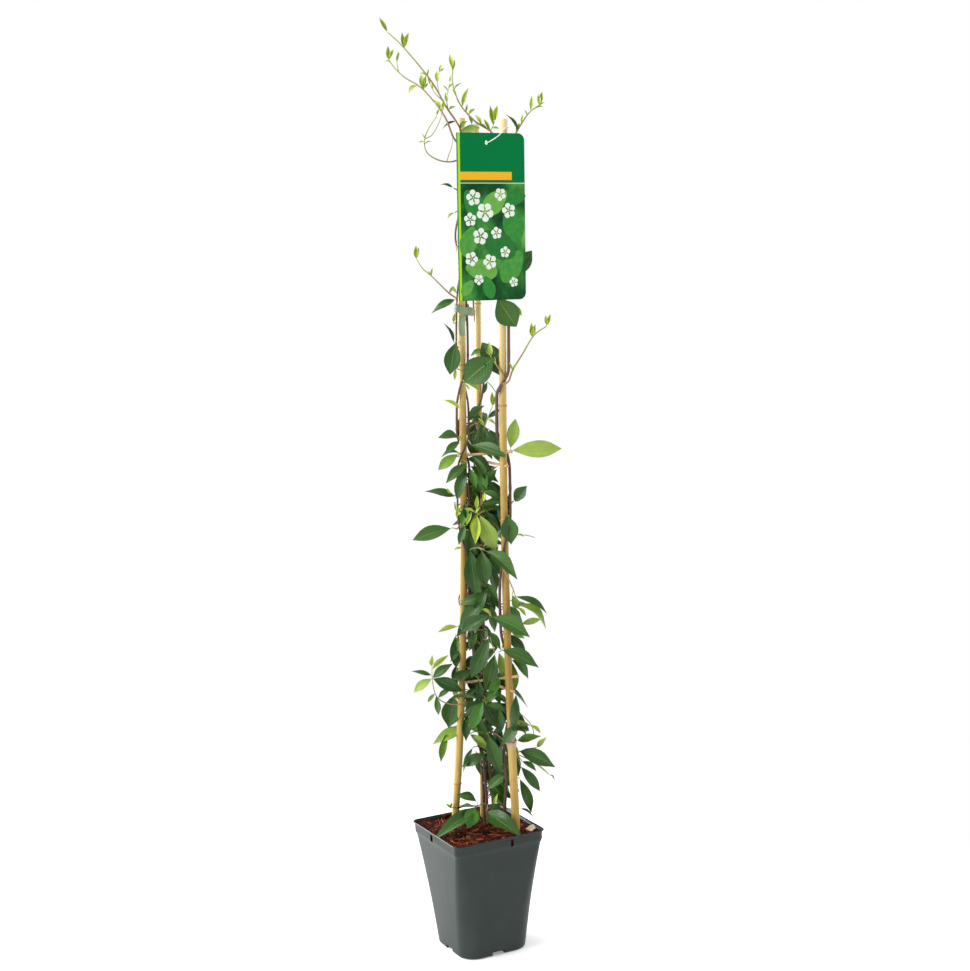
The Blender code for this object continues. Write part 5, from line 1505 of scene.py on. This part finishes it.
# %% Sprays at the middle
SPRAYS |= {
    "spray_left_big": ("vine_left_front", 568, (-14, 11, 567), [
        ((-20, 9, 569), (-72, 3, 556), 60, "dark"), ((-2, 6, 572), (-12, 2, 547), 60, "dark"),
        ((-8, 10, 542), (-19, 8, 540), 60, "lime"), ((2, 5, 566), (-5, 3, 550), 60, "green"),
        ((-13, 10, 582), (-10, 9, 596), 60, "young")]),
    "spray_hanging_pair": ("vine_middle", 545, (13, 0, 543), [
        ((3, 0, 541), (9, -2, 480), 82, "wide"), ((18, -5, 541), (22, -7, 491), 84, "wide"),
        ((22, -8, 541), (64, -33, 508), 40, "slim"), ((28, 2, 546), (45, 0, 511), 70, "dark"),
        ((46, 6, 546), (49, 4, 516), 50, "olive"), ((30, 6, 520), (36, 6, 480), 60, "dark")]),
    "spray_right_upper": ("vine_right", 520, (58, -19, 488), [
        ((60, -16, 480), (103, -14, 456), 50, "blade"), ((56, -15, 482), (64, -8, 460), 78, "olive_wide"),
        ((62, -12, 469), (102, -12, 437), 26, "olive"), ((66, -6, 440), (93, -6, 446), 68, "pale"),
        ((62, -10, 464), (73, -8, 451), 40, "young"), ((56, 6, 470), (78, 30, 452), 10, "dark")]),
    "spray_crossing": ("vine_middle", 458, (27, -13, 456), [
        ((26, -9, 454), (-14, 2, 431), 66, "wide"), ((28, -13, 453), (78, -25, 428), 56, "dark"),
        ((27, 0, 478), (-16, 8, 433), 50, "dark"), ((22, -4, 498), (38, -9, 472), 70, "dark"),
        ((15, -4, 462), (28, -6, 456), 60, "lime"), ((24, 4, 490), (6, 6, 452), 70, "dark"),
        ((30, 14, 484), (20, 16, 440), 70, "wide"), ((28, 4, 466), (32, 2, 428), 76, "dark"),
        ((8, 14, 500), (10, 16, 458), 70, "dark"), ((-17, 8, 437), (-44, 4, 430), 12, "bud")]),
    "spray_long_hanging": ("vine_middle", 416, (27, -1, 414), [
        ((25, -2, 424), (-2, 2, 367), 76, "dark"), ((31, -6, 402), (17, -8, 349), 84, "dark"),
        ((38, -4, 372), (22, -4, 340), 55, "green"), ((8, 6, 430), (-3, 6, 403), 66, "dark"),
        ((22, 6, 430), (34, 4, 405), 60, "dark"), ((36, 0, 402), (44, -2, 362), 50, "olive"),
        ((-14, 24, 400), (-30, 22, 385), 60, "dark")]),
    "spray_right_middle": ("vine_right", 412, (44, 0, 410), [
        ((40, -19, 410), (88, -29, 387), 46, "dark"), ((52, 0, 392), (75, -6, 367), 34, "slim"),
        ((52, -2, 433), (71, -4, 420), 70, "olive_wide"), ((45, 2, 427), (72, -3, 401), 60, "dark"),
        ((53, 2, 388), (55, 0, 345), 50, "olive"), ((57, -19, 350), (52, -21, 297), 60, "slim"),
        ((-18, 24, 416), (-20, 22, 405), 60, "green")]),
}
print("sprays with those at the middle", len(SPRAYS))

# %% Sprays at the foot and at the back
SPRAYS |= {
    "spray_low_left": ("vine_left_rear", 302, (-4, 31, 300), [
        ((-8, 31, 292), (-58, 34, 270), 50, "olive"), ((-36, 33, 288), (-48, 33, 243), 60, "narrow"),
        ((-8, 20, 297), (20, 8, 288), 50, "olive_wide"), ((-7, 18, 287), (21, 6, 264), 55, "olive"),
        ((-26, 31, 338), (-35, 32, 292), 80, "broad"), ((-22, 31, 312), (-28, 32, 298), 50, "lime"),
        ((6, 20, 298), (14, 18, 284), 60, "green")]),
    "spray_low_right": ("vine_right", 262, (54, 2, 262), [
        ((58, -2, 267), (106, -14, 247), 62, "dark"), ((56, 0, 280), (88, -8, 288), 62, "green"),
        ((60, 0, 245), (85, -8, 212), 56, "dark"), ((58, 2, 228), (73, -4, 180), 50, "slim"),
        ((62, 0, 252), (81, -8, 240), 30, "dark"), ((97, -11, 236), (105, -12, 227), 12, "olive"),
        ((82, -4, 271), (95, -6, 285), 60, "leaflet"), ((52, 0, 300), (74, -3, 303), 30, "olive"),
        ((57, 0, 300), (70, -3, 288), 40, "slim"), ((74, -3, 302), (88, -5, 290), 20, "bud"),
        ((50, 8, 248), (46, 36, 226), 0, "dark")]),
    "spray_low_middle": ("vine_middle", 284, (17, -2, 292), [
        ((17, -4, 293), (34, -8, 235), 78, "dark"), ((42, -4, 238), (13, -6, 216), 56, "dark"),
        ((-3, 8, 271), (-18, 4, 238), 44, "slim"), ((14, 4, 263), (-19, 0, 247), 70, "wide"),
        ((60, -20, 309), (36, -18, 281), 62, "wide"), ((36, 4, 248), (46, 6, 222), 50, "dark")]),
    "spray_low_centre": ("vine_middle", 338, (15, 2, 337), [
        ((12, -2, 338), (-32, 2, 343), 24, "slim"), ((14, 0, 336), (-13, 4, 321), 60, "dark"),
        ((14, -4, 338), (-5, -4, 297), 62, "green"), ((8, 2, 366), (10, 0, 334), 70, "dark"),
        ((17, -2, 331), (45, -6, 324), 56, "dark"), ((18, -2, 334), (36, -6, 350), 50, "dark"),
        ((32, 2, 329), (35, 0, 289), 50, "dark"), ((30, 6, 345), (46, 4, 330), 60, "dark"),
        ((6, 10, 352), (-12, 8, 338), 60, "dark")]),
    "spray_foot_left": ("vine_left_front", 190, (0, 6, 190), [
        ((-2, 4, 188), (-58, -43, 163), 62, "slim"), ((-3, 2, 190), (-13, -34, 173), 80, "green_wide"),
        ((0, 6, 196), (-27, 4, 208), 40, "dark"), ((-4, 16, 186), (-30, 30, 179), 30, "dark"),
        ((-36, 22, 183), (-34, 21, 192), 70, "leaflet"),
        ((-36, 22, 183), (-43, 22, 190), 50, "leaflet")]),
    "spray_foot_right": ("vine_middle", 186, (14, 4, 186), [
        ((12, 0, 185), (57, -48, 164), 66, "dark"), ((14, 6, 192), (33, 2, 184), 55, "dark"),
        ((58, 0, 187), (76, -2, 174), 30, "dark"), ((22, 8, 190), (28, 6, 206), 60, "lime"),
        ((24, 16, 184), (36, 30, 182), 20, "dark")]),
    "spray_rear_middle": ("vine_back", 560, (18, 60, 564), [
        ((22, 58, 563), (50, 78, 538), -45, "dark"), ((16, 60, 562), (-2, 78, 530), -50, "dark"),
        ((14, 58, 564), (-20, 60, 566), -20, "dark"), ((22, 56, 562), (60, 46, 552), 0, "dark")]),
    "spray_rear_low": ("vine_back", 300, (8, 62, 304), [
        ((12, 62, 303), (36, 80, 282), -45, "dark"), ((6, 62, 303), (-22, 74, 288), -40, "dark"),
        ((4, 60, 304), (-28, 52, 318), -20, "dark"), ((12, 60, 304), (46, 56, 312), 0, "dark")]),
}
print("all sprays", len(SPRAYS), "with", sum(len(row[3]) for row in SPRAYS.values()), "main leaves")

# %% Thin side stems
# a spray's own side stem, as thin as string
TENDRILS = {
    "spray_low_right": [(53, 0, 322), (66, -2, 314), (77, -4, 300), (79, -5, 288)],
    "spray_low_left": [(80, -6, 251), (88, -8, 245), (97, -11, 236)],
    "spray_right_upper": [(60, -8, 560), (78, -10, 559), (88, -12, 556)],
}

# %% [markdown]
# The lower half of a real plant is crowded, so every low spray also carries some leaves further back,
# between and behind the canes. They only have to fill the depth, so chance may place them: a base and
# a tip are drawn by lot, and kept if both lie inside the plant's outline and the base is within reach
# of a vine.

# %% The plant's outline
# height, then the plant's left and right edges there, millimetres
BODY = [(185, 12, 62), (235, 6, 76), (262, -12, 80), (285, -30, 80), (326, -38, 74), (378, -30, 72),
        (431, -20, 80), (510, -8, 60), (589, -12, 60), (668, -12, 50), (720, -2, 46)]
print("plant outline from", BODY[0][0], "to", BODY[-1][0], "mm")


def edges(height):
    """The plant's left and right edges at a height."""
    for (low, *first), (high, *second) in zip(BODY, BODY[1:]):
        if height <= high:
            break
    share = min(1.0, max(0.0, (height - low) / (high - low)))
    return [a + (b - a) * share for a, b in zip(first, second)]


def fits(point):
    """True if a point is inside the plant's outline, above the bed and behind the front leaves."""
    right, away, up = (point.dot(way) / MM for way in (RIGHT, AWAY, UP))
    left_edge, right_edge = edges(up)
    return up > 180 and left_edge < right < right_edge and 8 < away < 72


# %% Leaves further back
CROWD_SPREAD, CROWD_REACH = 48, 36         # above or below the spray, and from a vine to a leaf
CROWD_KINDS = ("dark",) * 4 + ("wide", "slim", "green")


def crowd(height, count):
    """Up to count hanging leaves round a height, each with a stalk from one of the vines."""
    made = []
    for _ in range(160 * count):
        if len(made) >= 2 * count:
            break
        up = height + random.uniform(-CROWD_SPREAD, CROWD_SPREAD)
        start = min((on_vine(name, up - 8)[0] for name in VINES), key=lambda spot: random.random())
        base = at(random.uniform(*edges(up)), random.uniform(10, 62), up)
        way = heading(random.uniform(0, 360), random.uniform(-78, -8))
        tip = base + way * random.uniform(30, 54) * MM
        if fits(base) and fits(tip) and (base - start).length < CROWD_REACH * MM:
            kind = random.choice(CROWD_KINDS)
            outward = 1 if tip.dot(AWAY) < 0.036 else -1
            made.append(twig(start, base, 0.8, 0.3))
            made.append(leaf(base, tip, outward * random.uniform(35, 85), kind))
    return made


def crowding(height):
    """How many leaves a spray has further back."""
    return 0 if height > 700 else 5 if height > 640 else 9


# %% Sprays in place
random.seed(11)
part_count = 0
for name, (vine, height, node, leaves) in SPRAYS.items():
    start, _ = on_vine(vine, height)
    node = at(*node)
    parts = [twig(start, node, 1.1)]
    for base, tip, face, kind in leaves:
        parts += stalked(at(*base), at(*tip), face, kind, node)
    if name in TENDRILS:
        route = curved([at(*place) for place in TENDRILS[name]], 5 * MM)
        parts.append(stem(route, [0.55] * len(route), (0.5, 0.9), roundness=0))
    parts += crowd(height, crowding(height))
    part_count += len(parts)
    dress(join(parts, "spray"), "dark_leaf", node=name)
print("leaves and stalks", part_count)

# %% [markdown]
# ## Young shoots
#
# Long thin shoots swing free of the canes, brown at the foot and fresh green at the end. Their small
# leaves stand upright and almost closed, in pairs, and a few side stems as thin as string branch off.
# Each is drawn like the vines, as a rod along a smooth route, but the routes are given as they are
# seen, since these shoots hang in the air and wind round nothing.

# %% Shoots above the canes
# vine, height, route (right, away, up), radius at its foot, side stems as (right, up) places, and
# leaves as (base, tip, kind) in (right, up) places; both start on the nearest stem.
SHOOTS = {
    "shoot_top_left": ("vine_left_rear", 1074, [
        (8, -2, 1087), (-7, 1, 1111), (-25, 4, 1144), (-57, 1, 1185), (-77, -1, 1205)], 1.3, [
        [(-9, 1110), (-14, 1125), (-17, 1141), (-15, 1150), (-14, 1154)],
        [(-12, 1116), (-21, 1129), (-26, 1139)],
        [(-5, 1108), (-6, 1120), (-4, 1130), (-1, 1141)]], [
        ((-77, 1205), (-86, 1222), "bud"), ((-57, 1185), (-59, 1203), "young"),
        ((-57, 1185), (-51, 1202), "young"), ((-31, 1150), (-38, 1154), "young"),
        ((-30, 1149), (-27, 1158), "bud"), ((-17, 1142), (-17, 1155), "leaflet"),
        ((-14, 1152), (-11, 1163), "lime"), ((-14, 1153), (-8, 1158), "bud"),
        ((-26, 1139), (-29, 1147), "bud"), ((-22, 1131), (-24, 1141), "bud"),
        ((-6, 1114), (-7, 1128), "leaflet"), ((-4, 1131), (-10, 1137), "bud"),
        ((-3, 1134), (3, 1139), "bud"), ((-1, 1141), (0, 1149), "bud"),
        ((-3, 1107), (5, 1110), "leaflet"), ((4, 1092), (-12, 1085), "slim"),
        ((8, 1081), (33, 1083), "pale_wide"), ((12, 1083), (18, 1092), "olive_wide")]),
    "shoot_top_left_lower": ("vine_left_rear", 1062, [
        (1, -3, 1072), (-10, -6, 1100), (-35, -2, 1133), (-58, 0, 1149), (-70, 1, 1161),
        (-77, 0, 1171)], 1.2, [
        [(-66, 1157), (-67, 1168), (-63, 1179)]], [
        ((-77, 1170), (-77, 1187), "leaflet"), ((-77, 1171), (-71, 1183), "leaflet"),
        ((-75, 1168), (-82, 1170), "bud"), ((-36, 1133), (-37, 1151), "leaflet"),
        ((-35, 1133), (-31, 1149), "young"), ((-35, 1133), (-29, 1140), "olive"),
        ((-42, 1136), (-53, 1130), "leaflet"), ((-14, 1108), (-21, 1119), "leaflet"),
        ((-12, 1105), (-9, 1118), "bud"), ((-67, 1166), (-64, 1180), "bud")]),
    "shoot_loop": ("vine_left_rear", 1045, [
        (-5, -3, 1042), (-20, -7, 1045), (-33, -10, 1054), (-36, -11, 1068), (-31, -12, 1082),
        (-19, -13, 1099)], 1.0, [
        [(-35, 1071), (-27, 1075), (-19, 1086), (-14, 1097), (-12, 1108)],
        [(-9, 1043), (-6, 1050), (-2, 1060), (0, 1071)]], [
        ((-36, 1070), (-38, 1078), "bud"), ((-36, 1067), (-43, 1067), "bud"),
        ((-34, 1066), (-27, 1068), "bud"), ((-13, 1104), (-10, 1112), "bud"),
        ((-19, 1098), (-16, 1107), "bud")]),
    "shoot_top_middle": ("vine_right", 1062, [
        (48, 6, 1079), (30, 4, 1091), (13, 8, 1110), (5, 9, 1128), (2, 8, 1143), (3, 7, 1158)], 1.2, [
        [(48, 1079), (52, 1086), (54, 1091)]], [
        ((3, 1158), (0, 1175), "young"), ((3, 1155), (6, 1168), "bud"), ((4, 1130), (13, 1140), "bud"),
        ((13, 1112), (21, 1132), "bud"), ((20, 1102), (29, 1107), "leaflet"),
        ((22, 1100), (25, 1089), "leaflet"), ((19, 1103), (20, 1113), "bud"),
        ((11, 1112), (7, 1119), "bud"), ((6, 1124), (2, 1133), "young"), ((52, 1086), (49, 1109), "bud"),
        ((54, 1091), (58, 1109), "young"), ((50, 1082), (59, 1082), "leaflet"),
        ((44, 1081), (28, 1089), "olive"), ((47, 1080), (41, 1093), "bud"),
        ((36, 1087), (30, 1099), "bud")]),
    "shoot_top_right": ("vine_right", 1050, [
        (72, 4, 1058), (81, 4, 1076), (90, 3, 1090), (100, 1, 1102), (111, 0, 1108)], 1.2, [], [
        ((111, 1108), (115, 1124), "young"), ((111, 1108), (110, 1122), "young"),
        ((111, 1108), (118, 1112), "bud"), ((101, 1102), (102, 1120), "bud"),
        ((102, 1103), (116, 1107), "bud"), ((88, 1088), (90, 1098), "bud"),
        ((95, 1096), (92, 1104), "bud"), ((83, 1080), (70, 1098), "slim"),
        ((81, 1077), (85, 1087), "leaflet")]),
}
print("shoots above the canes", len(SHOOTS))

# %% Shoots lower down
SHOOTS |= {
    "shoot_left": ("vine_left_front", 868, [
        (-12, 4, 876), (-20, 2, 884), (-34, 1, 899), (-45, 0, 909), (-52, 0, 921)], 1.0, [], [
        ((-52, 921), (-52, 937), "leaflet"), ((-52, 921), (-49, 935), "young"),
        ((-35, 899), (-32, 909), "bud"), ((-34, 899), (-38, 905), "bud"),
        ((-12, 877), (-5, 884), "leaflet")]),
    "shoot_right": ("vine_right", 758, [
        (60, -25, 762), (66, -22, 776), (80, -16, 797), (95, -10, 819), (112, -6, 830)], 1.2, [], [
        ((112, 830), (117, 844), "young"), ((112, 830), (111, 843), "leaflet"),
        ((93, 817), (92, 834), "leaflet"), ((93, 817), (97, 832), "young"),
        ((66, 777), (72, 785), "bud"), ((66, 777), (62, 786), "bud")]),
    "shoot_centre": ("vine_middle", 676, [
        (26, 14, 696), (32, 9, 712), (39, 6, 728)], 1.0, [], [
        ((39, 727), (45, 743), "young"), ((39, 727), (39, 745), "young"), ((33, 712), (47, 722), "dark"),
        ((33, 712), (41, 705), "young"), ((28, 702), (20, 712), "young")]),
    "shoot_low_left": ("vine_left_front", 330, [
        (-8, 6, 334), (-22, 2, 332), (-38, 0, 336), (-49, -1, 346), (-53, -2, 366),
        (-53, -2, 386)], 0.9, [], [
        ((-53, 385), (-52, 401), "lime"), ((-53, 385), (-57, 394), "bud"),
        ((-53, 370), (-76, 354), "pale_wide"), ((-53, 375), (-78, 381), "slim"),
        ((-53, 370), (-16, 352), "wide"), ((-52, 372), (-28, 388), "dark"),
        ((-53, 382), (-32, 400), "bud"), ((-49, 346), (-47, 321), "dark"),
        ((-45, 342), (-30, 354), "dark"), ((-50, 350), (-60, 338), "olive")]),
}
print("all shoots", len(SHOOTS))

# %% [markdown]
# Side stems and leaves start on the nearest stem that is already there, so nothing floats, whatever
# the rounding of the places above.


# %% Shoots in place
def nearest(points, right, up):
    """The point that is nearest to a place seen from the best side."""
    return min(points, key=lambda p: math.hypot(p.dot(RIGHT) / MM - right, p.z / MM - up))


random.seed(23)
for name, (vine, height, places, radius, side_stems, leaves) in SHOOTS.items():
    start, _ = on_vine(vine, height)
    route = curved([start, *[at(*place) for place in places]], 4 * MM)
    last = len(route) - 1
    sizes = [1.12 * radius * (1 - 0.45 * i / last) for i in range(last + 1)]
    parts = [stem(route, sizes, (0.05, 0.9))]
    reached = list(route)
    for places in side_stems:
        root = nearest(reached, *places[0])
        thin = curved([root, *[at(right, root.dot(AWAY) / MM, up) for right, up in places[1:]]], 4 * MM)
        thinning = [0.6 - 0.2 * i / len(thin) for i in range(len(thin))]
        parts.append(stem(thin, thinning, (0.5, 1.0), roundness=0))
        reached += thin
    for base, tip, kind in leaves:
        root = nearest(reached, *base)
        end = at(tip[0], root.dot(AWAY) / MM + random.uniform(-3, 3), tip[1])
        end += (end - root) * 0.1
        parts.append(leaf(root, end, random.uniform(40, 75), kind))
    dress(join(parts, "shoot"), "green_shoot", node=name)
for form in FORMS.values():
    bpy.data.objects.remove(form)
